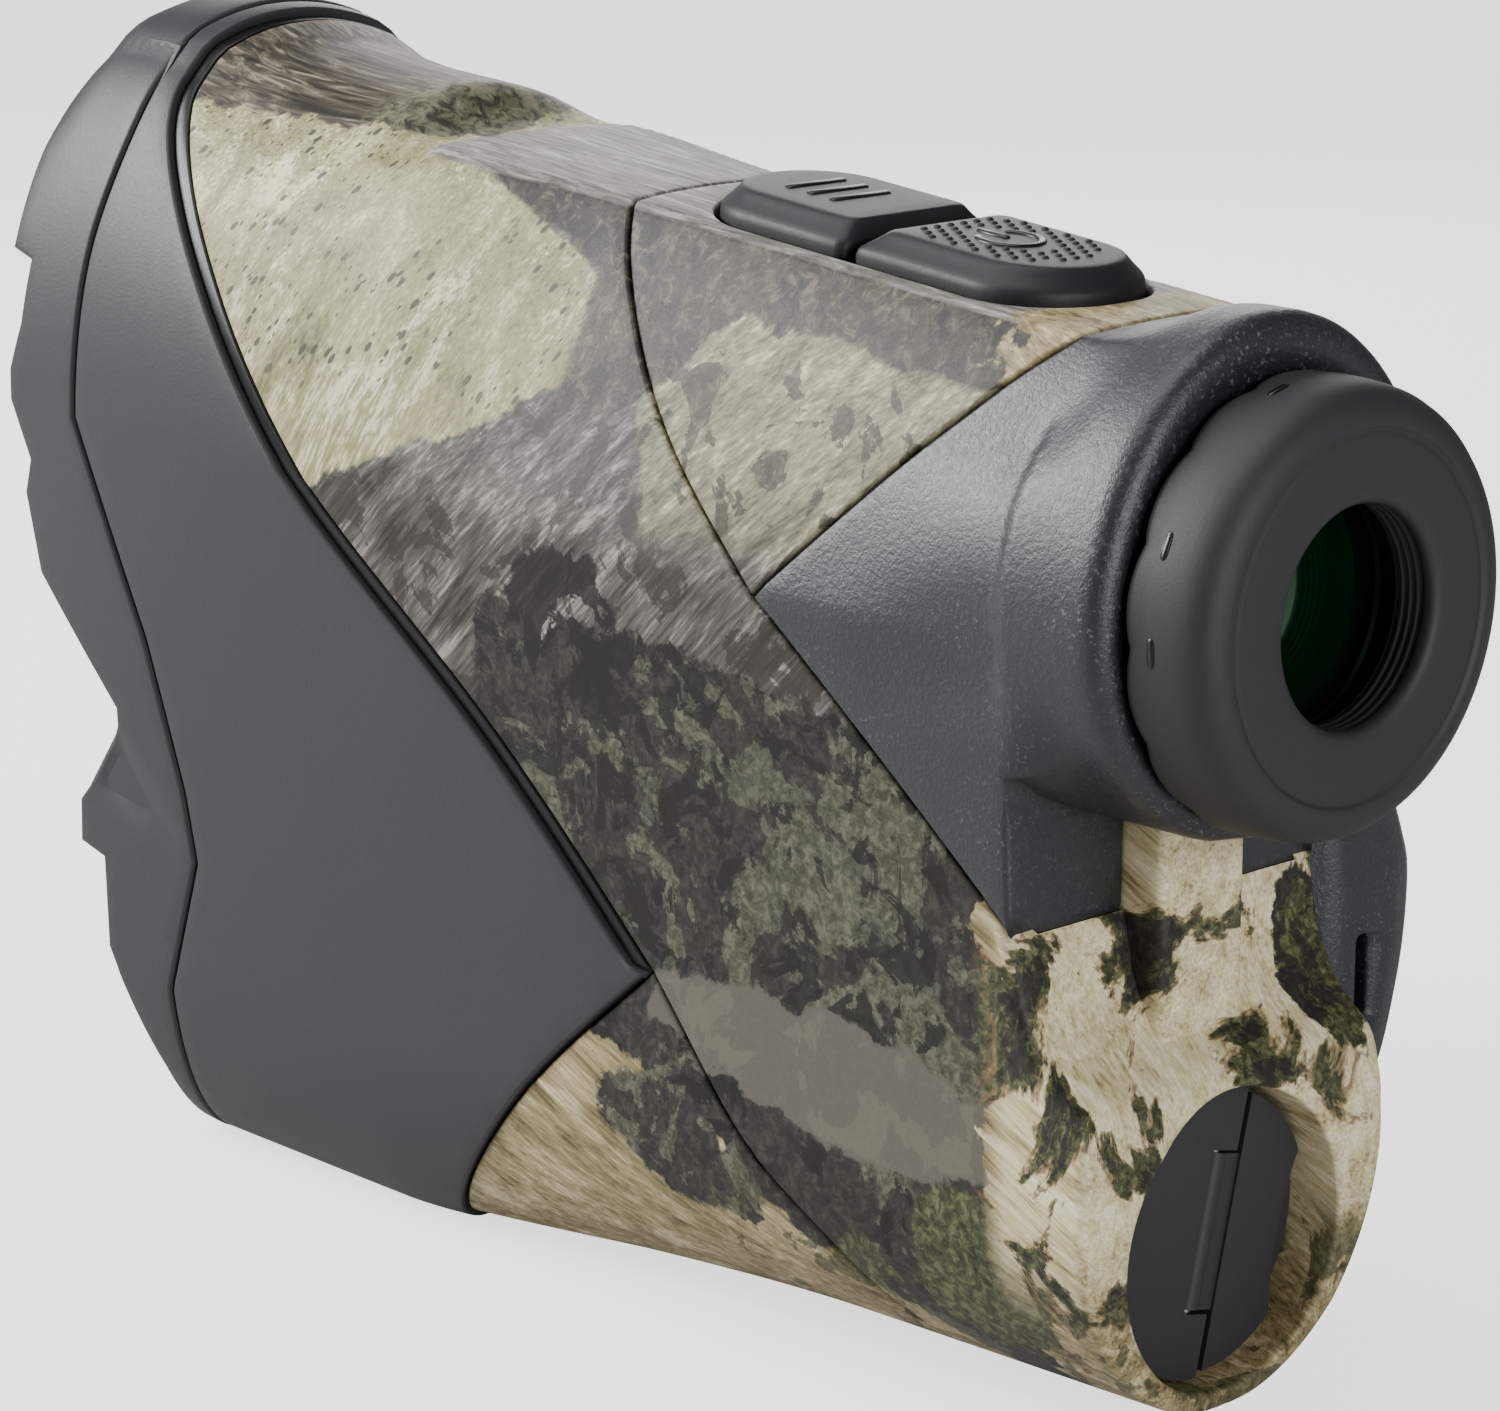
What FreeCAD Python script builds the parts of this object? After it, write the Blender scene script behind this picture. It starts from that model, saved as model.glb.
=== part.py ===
import FreeCAD, Part
import math
import os

# Hand-held laser rangefinder, upright monocular type.
# Frame, millimetres: origin at the mouth of the tripod socket in the base, +Z up,
# +Y forward towards the target, +X to the user's right. The base plane is Z = 0.

os.makedirs("parts", exist_ok=True)
V = FreeCAD.Vector
AHEAD = V(0, 1, 0)
UP = V(0, 0, 1)
RIGHT = V(1, 0, 0)

# ---- driving dimensions ----
REAR_Y = -57.0          # rear face of the battery boss
SKIRT_Y = -50.0         # rear face of the rubber skirt under the eyepiece
SHOULDER_Y = -58.8      # rear face of the eyepiece shoulder
FRONT_Y = 55.0          # foremost point of the bezel
WALL = 2.0              # shell thickness
SEAM = 0.1              # half of the gap between two shell parts
GASKET = 1.1            # width of the black seal strip beside the grip panels

EYE_Z = 57.1            # eyepiece axis
OBJECTIVE_Z = 65.0      # viewing lens axis
OBJECTIVE_R = 13.0      # viewing lens radius
EMITTER_Z = 20.5        # laser emitter axis
EMITTER_R = 7.5         # emitter lens radius
BATTERY_Z = 13.0        # battery axis
BATTERY_R = 7.8         # CR2 cell, 15.6 x 27
BATTERY_LENGTH = 27.0
BATTERY_Y = -46.0       # rear end of the cell
BARREL_WALL = 1.8       # both lens barrels
NECK_R = 12.2           # thinner rear part of the viewing barrel
DIODE_FLANGE_R = 4.0
NOSE_BACK_Y = 38.5      # inner face of the bezel's front wall
PLATE_Y = (16.0, 19.0)  # chassis plate
SHELF_Z = 43.9          # top of the chassis shelf
BOARD_X = 10.2          # outer face of the main board
POST_R = 2.2
SCREW_R = 0.75          # M1.6 screws

DOME_Y = -46.0          # where the rubber shroud's sides turn into its dome
SHOULDER_R = 16.0       # rubber shoulder round the eyepiece
SLEEVE_R = 14.3         # eyepiece tube
RING_R = 13.3           # diopter ring
CELL_R = 10.6           # sliding lens cell
SKIRT_Z = 35.4          # lower edge of the skirt

RECESS_R = 10.5         # recess round the battery cap
CAP_R = 10.2
CAP_THICK = 2.6
CAP_THREAD_R = 9.2
CAP_THREAD_LENGTH = 5.0
CAP_FACE_Y = -54.4      # the boss face is at -56 here, the cap sits in its recess
SEAL_R = 8.2            # bottom of the cap's seal groove
CHAMBER_END_Y = -18.5
RUN = 0.06              # radial clearance of a running fit
FREE = 0.3              # clearance between parts that move apart

SOCKET_R = 2.55         # 1/4-20 tripod thread, minor radius
SOCKET_DEPTH = 7.0
INSERT_R = 4.0
INSERT_LENGTH = 8.5

HINGE_X = 0.3           # the cap tab's hinge line, beside the cap's middle
HINGE_DEPTH = 1.05      # hinge line below the cap's face
HINGE_LEAN = 13.5       # turn of the closed cap about its axis, degrees
PIN_R = 0.45
KNUCKLE_R = 0.95
TAB_HALF = 5.4          # half of the tab's knuckle length
TAB_R = 9.8
TAB_THICK = 1.4
NOTCH_X = 7.3           # reach of the finger notch in the tab's rim
NOTCH_R = 25.0

KEY_GROUND = 78.3       # cover surface under the keys, level at y = -6
KEY_DROP = 0.4          # foot of a key below that surface
KEY_HEIGHT = 2.05       # top of a key above it
KEY_POCKET = 1.35       # depth of the pocket: drop, 0.8 travel and a little more
PAD_FRONT_Y = -10.0
PAD_REAR_Y = -44.5
TROUGH_FRONT_Y = -26.2
TROUGH_REAR_Y = -26.8
PAD_HALF = 7.0
BOARD_TOP = 73.1        # key board, level at y = -6
STEM_Y = (-17.5, -34.5)
STEM_HALF = 2.2
POST_SPOTS = ((-4.6, -13.0), (4.6, -13.0), (-4.6, -38.5), (4.6, -38.5))

SCREW_SPOTS = ((-8.8, 40.0), (8.8, 40.0), (-10.5, 8.0), (10.5, 8.0))

SHAPES = {}


def keep(name, shape):
    SHAPES[name] = shape


def along(y, table):
    """Smooth value at station y through the (station, value) pairs of a table."""
    if y <= table[0][0]:
        return table[0][1]
    if y >= table[-1][0]:
        return table[-1][1]
    last = len(table) - 1
    i = max(k for k in range(last) if table[k][0] <= y)
    rise = [(table[k + 1][1] - table[k][1]) / (table[k + 1][0] - table[k][0]) for k in range(last)]

    def slope(k):
        if k in (0, last):
            return rise[min(k, last - 1)]
        a, b = rise[k - 1], rise[k]
        return 0.0 if a * b <= 0 else 2 * a * b / (a + b)

    h = table[i + 1][0] - table[i][0]
    t = (y - table[i][0]) / h
    start, end = table[i][1], table[i + 1][1]
    ease = (2 * t ** 3 - 3 * t ** 2 + 1) * start + (3 * t ** 2 - 2 * t ** 3) * end
    return ease + (t ** 3 - 2 * t ** 2 + t) * h * slope(i) + (t ** 3 - t ** 2) * h * slope(i + 1)


# ---- the body's outline, as (station y, value) pairs ----
EDGE_X = [(-50, 8.0), (-6, 8.0), (14, 10.0), (30, 10.0), (55, 9.5)]
BARREL_Z = [(14, 79.7), (22, 80.3), (30, 80.9), (36, 82.0), (41, 84.0), (46, 84.9), (50, 84.9),
            (53, 83.6), (55, 81.4)]
CROWN = [(-50, 0.3), (14, 0.4), (21, 3.0), (32, 3.0), (42, 2.3), (55, 2.3)]
UPPER_X = [(-50, 14.0), (-6, 14.6), (14, 17.0), (30, 18.6), (45, 19.3), (55, 19.3)]
UPPER_Z = [(-50, 67.0), (-6, 69.0), (14, 72.5), (30, 74.5), (45, 75.5), (55, 75.5)]
RIDGE_X = [(-57, 16.4), (-50, 16.5), (0, 18.0), (45, 19.3), (55, 19.3)]
RIDGE_Z = [(-50, 54.7), (-6, 55.1), (19, 56.1), (45, 56.7), (55, 57.0)]
WAIST = [(-57, -0.9), (0, -0.6), (45, 0.0)]
LOW_X = [(-57, 15.2), (-28, 15.6), (0, 16.4), (48, 17.9)]
LOW_Z = [(-57, 17.5), (-48, 16.8), (-25, 15.2), (-3, 14.2), (11, 13.2), (36, 13.1), (48, 12.3)]
BASE_X = [(-57, 0.5), (-30, 2.0), (-10, 5.5), (5, 9.0), (15, 11.0), (40, 11.0), (55, 9.0)]
BASE_Z = [(-57, 1.2), (-30, 1.2), (-14, 0.9), (0, 0.3), (10, -0.15), (36, -0.15), (46, 1.4), (55, 6.0)]
BILGE_W = [(-57, 0.68), (-30, 0.75), (-10, 0.75), (5, 0.82), (20, 0.9), (55, 0.9)]
BILGE_X = [(-57, 0.6), (-10, 0.3), (20, 0.8), (55, 1.2)]
FLAT_START = 78.0       # height of the flat top at y = -6
FLAT_RISE = 0.094
STATIONS = (-57, -48, -38, -26, -14, -4, 6, 14, 21, 28, 35, 42, 48, 52, 55)


def conic(p, q, r, weight, t):
    a, b, c = (1 - t) ** 2, 2 * t * (1 - t) * weight, t * t
    s = a + b + c
    return ((a * p[0] + b * q[0] + c * r[0]) / s, (a * p[1] + b * q[1] + c * r[1]) / s)


def half_section(y):
    """Right half of the body's section at y, from top centre to bottom centre, as (x, z)."""
    edge_x = along(y, EDGE_X)
    edge_z = FLAT_START + FLAT_RISE * (y + 6) if y < 14 else along(y, BARREL_Z)
    crown = along(y, CROWN)
    edge = (edge_x, edge_z)
    ridge = (along(y, RIDGE_X), along(y, RIDGE_Z))
    low = (along(y, LOW_X), along(y, LOW_Z))
    base = (along(y, BASE_X), along(y, BASE_Z))
    upper = (along(y, UPPER_X), along(y, UPPER_Z))
    waist = ((ridge[0] + low[0]) / 2 + 2 * along(y, WAIST), (ridge[1] + low[1]) / 2)
    bilge = (low[0] - along(y, BILGE_X), base[1])
    points = [(edge_x * k / 3, edge_z + crown * (1 - (k / 3) ** 2)) for k in range(3)]
    points += [conic(edge, upper, ridge, 0.9, k / 6) for k in range(6)]
    points += [conic(ridge, waist, low, 1.0, k / 3) for k in range(3)]
    points += [conic(low, bilge, base, along(y, BILGE_W), k / 6) for k in range(7)]
    points.append((0.0, base[1] - 0.01))
    return points


def inset(points, depth):
    """The same half section moved inwards by depth."""
    moved = []
    mirror = [(-points[1][0], points[1][1])] + points + [(-points[-2][0], points[-2][1])]
    for k in range(1, len(mirror) - 1):
        dx = mirror[k + 1][0] - mirror[k - 1][0]
        dz = mirror[k + 1][1] - mirror[k - 1][1]
        size = math.hypot(dx, dz)
        moved.append((mirror[k][0] + depth * dz / size, mirror[k][1] - depth * dx / size))
    moved[0] = (0.0, moved[0][1])
    moved[-1] = (0.0, moved[-1][1])
    return moved


def body(depth, start, end):
    """Solid of the body's outline, inset by depth, between two stations."""
    wires = []
    for y in [start] + [s for s in STATIONS if start + 2 < s < end - 2] + [end]:
        half = inset(half_section(y), depth)
        ring = [V(x, y, z) for x, z in half] + [V(-x, y, z) for x, z in half[-2:0:-1]]
        wires.append(Part.makePolygon(ring + [ring[0]]))
    return Part.makeLoft(wires, True, False)


# ---- small helpers ----
def rod(radius, y0, y1, x=0.0, z=0.0):
    return Part.makeCylinder(radius, y1 - y0, V(x, y0, z), AHEAD)


def tube(outer, inner, y0, y1, x=0.0, z=0.0):
    return rod(outer, y0, y1, x, z).cut(rod(inner, y0 - 1, y1 + 1, x, z))


def box(x0, x1, y0, y1, z0, z1):
    return Part.makeBox(x1 - x0, y1 - y0, z1 - z0, V(x0, y0, z0))


def turned(profile, z):
    """Solid of revolution about the Y axis at height z, from (radius, y) points."""
    points = [V(r, y, z) for r, y in profile]
    face = Part.Face(Part.makePolygon(points + [points[0]]))
    return face.revolve(V(0, 0, z), AHEAD, 360)


def slab(outline, gap=SEAM, x0=-40.0, x1=40.0):
    """Prism along X over a side-view outline of (y, z) points, shrunk by gap."""
    face = Part.Face(Part.makePolygon([V(x0, y, z) for y, z in outline + outline[:1]]))
    if gap:
        face = face.makeOffset2D(-gap)
    return face.extrude(V(x1 - x0, 0, 0))


def level(points, z):
    """Closed wire at height z through plan-view (x, y) points."""
    corners = [V(x, y, z) for x, y in points]
    return Part.makePolygon(corners + corners[:1])


def plan(outline, z0, z1):
    """Prism along Z over a plan-view outline of (x, y) points."""
    return Part.Face(level(outline, z0)).extrude(V(0, 0, z1 - z0))


def smooth(points, steps=4):
    """A flowing line through hand-placed (y, z) points."""
    curve = Part.BSplineCurve()
    curve.interpolate([V(0, y, z) for y, z in points])
    count = steps * (len(points) - 1)
    first, last = curve.FirstParameter, curve.LastParameter
    line = [curve.value(first + (last - first) * k / count) for k in range(count + 1)]
    return [(p.y, p.z) for p in line]


def lean(shape):
    """Tip a part built level at y = -6 onto the sloping top."""
    shape.rotate(V(0, -6, FLAT_START), RIGHT, math.degrees(math.atan(FLAT_RISE)))
    return shape


def largest(shape):
    return max(shape.Solids, key=lambda solid: solid.Volume)


# ---- seams, in side view as (y, z) ----
HIGH = 95.0
BELOW = -6.0
TIP = (-16.3, 25.8)                 # rear tip of the grip panel
VERTEX = (-27.8, 54.9)              # front tip of the eyepiece shroud
BEZEL_LINE = ([(44.0, HIGH)] + smooth([(44.0, 86.0), (43.6, 78.0), (44.9, 69.0), (45.6, 57.0)])
              + [(38.2, 40.5), (34.6, 29.0), (33.6, 23.5), (37.6, 12.3), (37.0, BELOW)])
PANEL_LINE = [(40.5, HIGH)] + smooth([(40.8, 86.0), (39.6, 81.0), (30.0, 68.5), (18.6, 56.0),
                                      (-1.4, 39.8), TIP])
PANEL_LOW = smooth([TIP, (-5.6, 16.5), (3.4, 6.7), (9.0, 0.0)]) + [(11.5, BELOW)]
LOWER_LINE = smooth([TIP, (-24.6, 16.4), (-33.0, 10.0), (-41.5, 1.0)]) + [(-44.0, BELOW)]
COVER_LINE = [(-6.0, HIGH)] + smooth([(-6.0, 78.2), (-8.2, 74.3), (-16.1, 64.7), VERTEX])
SHROUD_TOP = smooth([VERTEX, (-38.5, 64.9), (-45.5, 71.2), (-49.0, 74.0)]) + [(-49.6, HIGH)]
SHROUD_LOW = smooth([VERTEX, (-40.6, 43.9), (-50.4, 35.5)])

FRONT_LINE = [(49.5, HIGH), (52.5, 84.0), (54.6, 76.0), (55.0, 68.6), (52.4, 68.0), (52.9, 63.3),
              (54.2, 59.6), (54.2, 57.2), (52.0, 52.7), (52.9, 50.0), (51.5, 43.6), (42.6, 34.2),
              (42.6, 33.0), (48.0, 26.0), (48.3, 22.3), (45.4, 21.5), (45.5, 14.2), (40.8, 5.0),
              (38.0, BELOW)]
REAR_LINE = [(-50.0, 35.4), (-51.2, 30.5), (-53.2, 27.0), (-56.7, 24.3), (-57.0, 21.0), (-57.0, 6.0),
             (-55.6, BELOW)]


def shells():
    """The outer skin, split along its seams."""
    outer = body(0.0, REAR_Y, FRONT_Y).cut(box(-30.0, 30.0, REAR_Y - 1, FRONT_Y + 1, -5.0, 0.0))
    inner = body(WALL, REAR_Y + WALL, FRONT_Y - 6.0)
    skin = outer.cut(inner)

    gasket_line = offset_line(PANEL_LINE, GASKET)
    keep("front_bezel", front_bezel(outer, skin))
    keep("grip_panel", largest(skin.common(slab(BEZEL_LINE + PANEL_LOW[::-1] + gasket_line[-2::-1]))))
    keep("panel_gasket", largest(skin.common(slab(PANEL_LINE + gasket_line[-2::-1], 0.05))))
    keep("base_cover", base_cover(skin))
    keep("rear_top_cover", top_cover(skin))
    keep("eyepiece_shroud", eyepiece_shroud(outer, skin))
    keep("main_housing", main_housing(outer, inner))
    return outer


def offset_line(line, distance):
    """A line moved forward and down, to the grip panel's side of the seam."""
    moved = []
    for k in range(len(line)):
        a = line[max(k - 1, 0)]
        b = line[min(k + 1, len(line) - 1)]
        dy, dz = b[0] - a[0], b[1] - a[1]
        size = math.hypot(dy, dz)
        moved.append((line[k][0] - distance * dz / size, line[k][1] + distance * dy / size))
    return moved


def front_bezel(outer, skin):
    """The dark nose, with a front wall, the two lens openings and four screw posts."""
    region = slab(BEZEL_LINE + FRONT_LINE[::-1])
    wall = outer.common(box(-40, 40, NOSE_BACK_Y, FRONT_Y + 1, -10, 100)).common(region)
    nose = skin.common(region).fuse(wall)
    for x, z in SCREW_SPOTS:
        nose = nose.fuse(rod(POST_R, PLATE_Y[1], NOSE_BACK_Y + 2.5, x, z))
        nose = nose.cut(rod(SCREW_R, PLATE_Y[1] - 1, PLATE_Y[1] + 6.0, x, z))
    nose = nose.cut(rod(OBJECTIVE_R + BARREL_WALL, 30, 60, 0, OBJECTIVE_Z))
    nose = nose.cut(rod(EMITTER_R + BARREL_WALL, 25, 60, 0, EMITTER_Z))
    return largest(nose.removeSplitter())


def base_cover(skin):
    """Camouflage keel between the grip panel and the battery, with the tripod socket's boss."""
    cover = largest(skin.common(slab(PANEL_LOW + LOWER_LINE[::-1][:-1])))
    cover = cover.fuse(Part.makeCylinder(INSERT_R + 2.0, INSERT_LENGTH - WALL + 0.5, V(0, 0, WALL - 0.5), UP))
    return largest(cover.cut(Part.makeCylinder(INSERT_R, 20.0, V(0, 0, -5.0), UP)))


def top_cover(skin):
    """Camouflage cover with the pocket for the keys and four posts for their board."""
    cover = largest(skin.common(slab(COVER_LINE[:-1] + SHROUD_TOP)))
    floor = KEY_GROUND - KEY_POCKET
    cover = cover.fuse(lean(plan(pad_outline(1.2), floor - 1.5, floor + 0.4)))
    for x, y in POST_SPOTS:
        cover = cover.fuse(lean(Part.makeCylinder(1.0, 3.0, V(x, y, BOARD_TOP), UP)))
    cover = cover.cut(lean(plan(pad_outline(FREE), floor, floor + 10)))
    for y in STEM_Y:
        hole = STEM_HALF + 0.8
        cover = cover.cut(lean(box(-hole, hole, y - hole, y + hole, 60, 90)))
    return largest(cover)


def shoulder_wire(y, grow, drop):
    """Section of the eyepiece shoulder: round, a little taller than wide towards the body."""
    points = []
    for k in range(36):
        a = 2 * math.pi * k / 36
        x = (SHOULDER_R + 0.6 * grow) * math.sin(a)
        z = (SHOULDER_R + (2.6 * grow if math.cos(a) > 0 else drop)) * math.cos(a)
        points.append(V(x, y, EYE_Z + z))
    return Part.makePolygon(points + [points[0]])


def eyepiece_shroud(outer, skin):
    """Rubber shroud: two pointed sides, a skirt and the domed shoulder of the eyepiece."""
    edges = SHROUD_TOP[::-1] + SHROUD_LOW[1:]
    inside = slab(edges + [(-62.0, SKIRT_Z), (-62.0, HIGH)])
    sides = skin.common(inside).common(box(-30, 30, DOME_Y, 0, 0, 100))
    dome = Part.makeLoft([shoulder_wire(DOME_Y, 1.0, 0.0), shoulder_wire(-50.0, 1.0, 0.0),
                          shoulder_wire(-54.5, 0.85, 0.0), shoulder_wire(-57.3, 0.45, 0.0),
                          shoulder_wire(SHOULDER_Y, 0.0, -0.2)], True, True)
    skirt = outer.common(box(-30, 30, SKIRT_Y, DOME_Y, SKIRT_Z + 0.1, 49.0))
    rubber = dome.fuse(skirt).common(inside).fuse(sides)
    rubber = rubber.cut(rod(SLEEVE_R, -70, -40, 0, EYE_Z))
    return largest(rubber.cut(box(-4.4, 4.4, -60, DOME_Y + 1, 30.0, 42.2)))


def main_housing(outer, inner):
    """Camouflage housing: a diagonal band that ends in the battery boss."""
    region = (PANEL_LINE + LOWER_LINE[1:] + [(-70.0, BELOW), (-70.0, 36.0), (SKIRT_Y - 0.2, 35.2)]
              + SHROUD_LOW[::-1][1:] + COVER_LINE[::-1][1:])
    rear = slab(REAR_LINE + [(60.0, BELOW), (60.0, HIGH), (-50.0, HIGH)], 0.0)
    block = outer.common(slab(region)).common(rear)
    chamber = slab([(-53.6, BELOW), (-53.6, 22.0), (-50.5, 25.5), (-48.0, 33.0), (-48.0, HIGH),
                    (60.0, HIGH), (60.0, BELOW)], 0.0)
    sleeve = rod(RECESS_R + 0.2, -58.0, -17.0, 0, BATTERY_Z)
    hollow = inner.common(chamber).cut(sleeve)
    housing = largest(block.cut(hollow))
    housing = housing.cut(rod(RECESS_R, -60.0, CAP_FACE_Y + CAP_THICK, 0, BATTERY_Z))
    housing = housing.cut(rod(CAP_THREAD_R + RUN, -60.0, BATTERY_Y - 0.6, 0, BATTERY_Z))
    housing = housing.cut(rod(BATTERY_R + FREE, -60.0, CHAMBER_END_Y, 0, BATTERY_Z))
    rib = box(-4.1, 4.1, -53.3, -48.4, 26.0, 41.8)
    return largest(housing.fuse(rib))


def battery_group():
    """Threaded cap with its folding tab, the cell and the contacts."""
    back_y = CAP_FACE_Y + CAP_THICK - 0.1
    hinge_y = CAP_FACE_Y + HINGE_DEPTH
    cap = rod(CAP_R, CAP_FACE_Y, back_y, 0, BATTERY_Z)
    cap = cap.fuse(rod(CAP_THREAD_R, back_y, back_y + CAP_THREAD_LENGTH - 0.2, 0, BATTERY_Z))
    cap = cap.cut(rod(7.4, back_y + 0.4, BATTERY_Y, 0, BATTERY_Z))
    cap = cap.cut(tube(CAP_R + 1, SEAL_R, back_y + 0.2, back_y + 1.5, 0, BATTERY_Z))
    pin = Part.makeCylinder(PIN_R, 17.0, V(HINGE_X, hinge_y, BATTERY_Z - 8.5), UP)
    cap = largest(cap.cut(tab_pocket()).cut(pin))
    for name, shape in (("battery_cap", cap), ("cap_tab", tab_leaf()), ("cap_tab_pin", pin)):
        shape.rotate(V(0, 0, BATTERY_Z), AHEAD, HINGE_LEAN)
        keep(name, shape)
    keep("cap_seal", tube(CAP_THREAD_R - 0.05, SEAL_R + 0.05, back_y + 0.35, back_y + 1.35, 0, BATTERY_Z))
    plate = rod(6.6, BATTERY_Y - 0.7, BATTERY_Y - 0.3, 0, BATTERY_Z)
    keep("cap_contact", plate.fuse(rod(2.0, back_y + 0.7, BATTERY_Y - 0.7, 0, BATTERY_Z)))
    nub_y = BATTERY_Y + BATTERY_LENGTH - 0.8
    cell = rod(BATTERY_R, BATTERY_Y, nub_y, 0, BATTERY_Z)
    keep("battery", cell.fuse(rod(3.0, nub_y, BATTERY_Y + BATTERY_LENGTH, 0, BATTERY_Z)))
    keep("chamber_contact", rod(5.0, CHAMBER_END_Y - 0.4, CHAMBER_END_Y, 0, BATTERY_Z))


def tab_leaf():
    """Half-round tab that folds flat into the cap, with a shallow finger notch in its rim."""
    back_y = CAP_FACE_Y + TAB_THICK
    plate = rod(TAB_R, CAP_FACE_Y, back_y, 0, BATTERY_Z)
    plate = plate.common(box(HINGE_X + 1.7, 12, CAP_FACE_Y, back_y, 0, 40))
    plate = plate.cut(rod(NOTCH_R, CAP_FACE_Y - 1, back_y + 1, NOTCH_X + NOTCH_R, BATTERY_Z))
    middle = CAP_FACE_Y + HINGE_DEPTH
    knuckle = Part.makeCylinder(KNUCKLE_R, 2 * TAB_HALF, V(HINGE_X, middle, BATTERY_Z - TAB_HALF), UP)
    arm = box(HINGE_X, HINGE_X + 1.8, CAP_FACE_Y + 0.2, back_y, BATTERY_Z - TAB_HALF, BATTERY_Z + TAB_HALF)
    eye = Part.makeCylinder(PIN_R + 0.05, 30.0, V(HINGE_X, middle, BATTERY_Z - 15), UP)
    return largest(plate.fuse(arm).fuse(knuckle).cut(eye).removeSplitter())


def tab_pocket():
    """Room in the cap for the tab, its knuckle and the swing of its root."""
    front_y = CAP_FACE_Y - 1.0
    round_side = rod(CAP_R + 1, front_y, CAP_FACE_Y + TAB_THICK + 0.2, 0, BATTERY_Z)
    round_side = round_side.common(box(HINGE_X + 1.2, 14, front_y, CAP_FACE_Y + 3, 0, 40))
    side = TAB_HALF + 0.25
    root = box(HINGE_X - KNUCKLE_R - 0.3, HINGE_X + 1.9, front_y, CAP_FACE_Y + HINGE_DEPTH + KNUCKLE_R + 0.15,
               BATTERY_Z - side, BATTERY_Z + side)
    return round_side.fuse(root)


def eyepiece_group():
    """Rotating diopter ring with its eyecup, and the lens cell that it drives."""
    cup = turned([(7.3, -66.0), (12.6, -66.0), (13.4, -65.6), (13.9, -64.0), (14.9, -60.2),
                  (14.9, -59.15), (RING_R, -59.15), (RING_R, -64.2), (12.0, -64.4), (7.9, -64.4)], EYE_Z)
    cup = cup.cut(tube(11.9, 11.4, -67.0, -65.7, 0, EYE_Z))
    for k in range(24):
        a = math.radians(15 * k)
        cup = cup.cut(rod(0.9, -60.2, -58.0, 15.4 * math.sin(a), EYE_Z + 15.4 * math.cos(a)))
    keep("eyecup", largest(cup))
    ring = tube(RING_R, 11.6, -64.1, -54.0, 0, EYE_Z).fuse(tube(11.8, CELL_R + RUN, -58.0, -54.0, 0, EYE_Z))
    keep("diopter_ring", ring.removeSplitter())
    sleeve = tube(SLEEVE_R, RING_R + RUN, -57.5, -52.0, 0, EYE_Z)
    sleeve = sleeve.fuse(tube(SLEEVE_R, 11.0, -52.0, -46.5, 0, EYE_Z))
    sleeve = sleeve.fuse(tube(12.4, 11.0, -46.5, -42.0, 0, EYE_Z))
    keep("eyepiece_tube", sleeve.cut(rod(11.6, -49.0, -48.0, 0, EYE_Z)).removeSplitter())
    keep("ocular_seal", tube(11.55, CELL_R + 0.05, -48.95, -48.05, 0, EYE_Z))
    cell = tube(CELL_R, 9.3, -62.0, -44.0, 0, EYE_Z).fuse(tube(CELL_R, 8.4, -60.4, -60.0, 0, EYE_Z))
    keep("ocular_cell", cell.fuse(tube(CELL_R, 8.4, -53.6, -53.0, 0, EYE_Z)).removeSplitter())
    keep("eye_lens", lens(9.3, -60.0, 3.6, 1.0, EYE_Z))
    keep("field_lens", lens(9.3, -53.0, 3.0, 0.8, EYE_Z))


def lens(radius, y0, thick, bulge, z):
    """Lens of the given thickness at its middle, with a domed face each way."""
    def dome(sign, y):
        r = (radius ** 2 + bulge ** 2) / (2 * bulge)
        ball = Part.makeSphere(r, V(0, y + sign * (bulge - r), z))
        reach = sorted((y, y + sign * (bulge + 1)))
        return ball.common(box(-20, 20, reach[0], reach[1], z - 20, z + 20))
    front = y0 + thick - bulge
    back = y0 + bulge
    return rod(radius, back, front, 0, z).fuse(dome(1, front)).fuse(dome(-1, back)).removeSplitter()


def pad_outline(grow):
    """Plan outline round both keys: long sides and half-round ends."""
    return key_outline(PAD_FRONT_Y, 0.0, grow)[:13] + key_outline(PAD_REAR_Y, 0.0, grow)[:13]


def key_outline(round_y, flat_y, grow):
    """Plan outline of one key: half-round at its outer end, straight at the trough."""
    sign = 1 if round_y == PAD_FRONT_Y else -1
    half = PAD_HALF + grow
    centre = round_y - sign * PAD_HALF * 0.9
    ring = []
    for k in range(13):
        a = math.pi * k / 12
        ring.append((half * math.cos(a) * sign, centre + sign * half * 0.9 * math.sin(a)))
    edge = flat_y - sign * 0.6 * grow
    return ring + [(-half * sign, edge), (half * sign, edge)]


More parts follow.
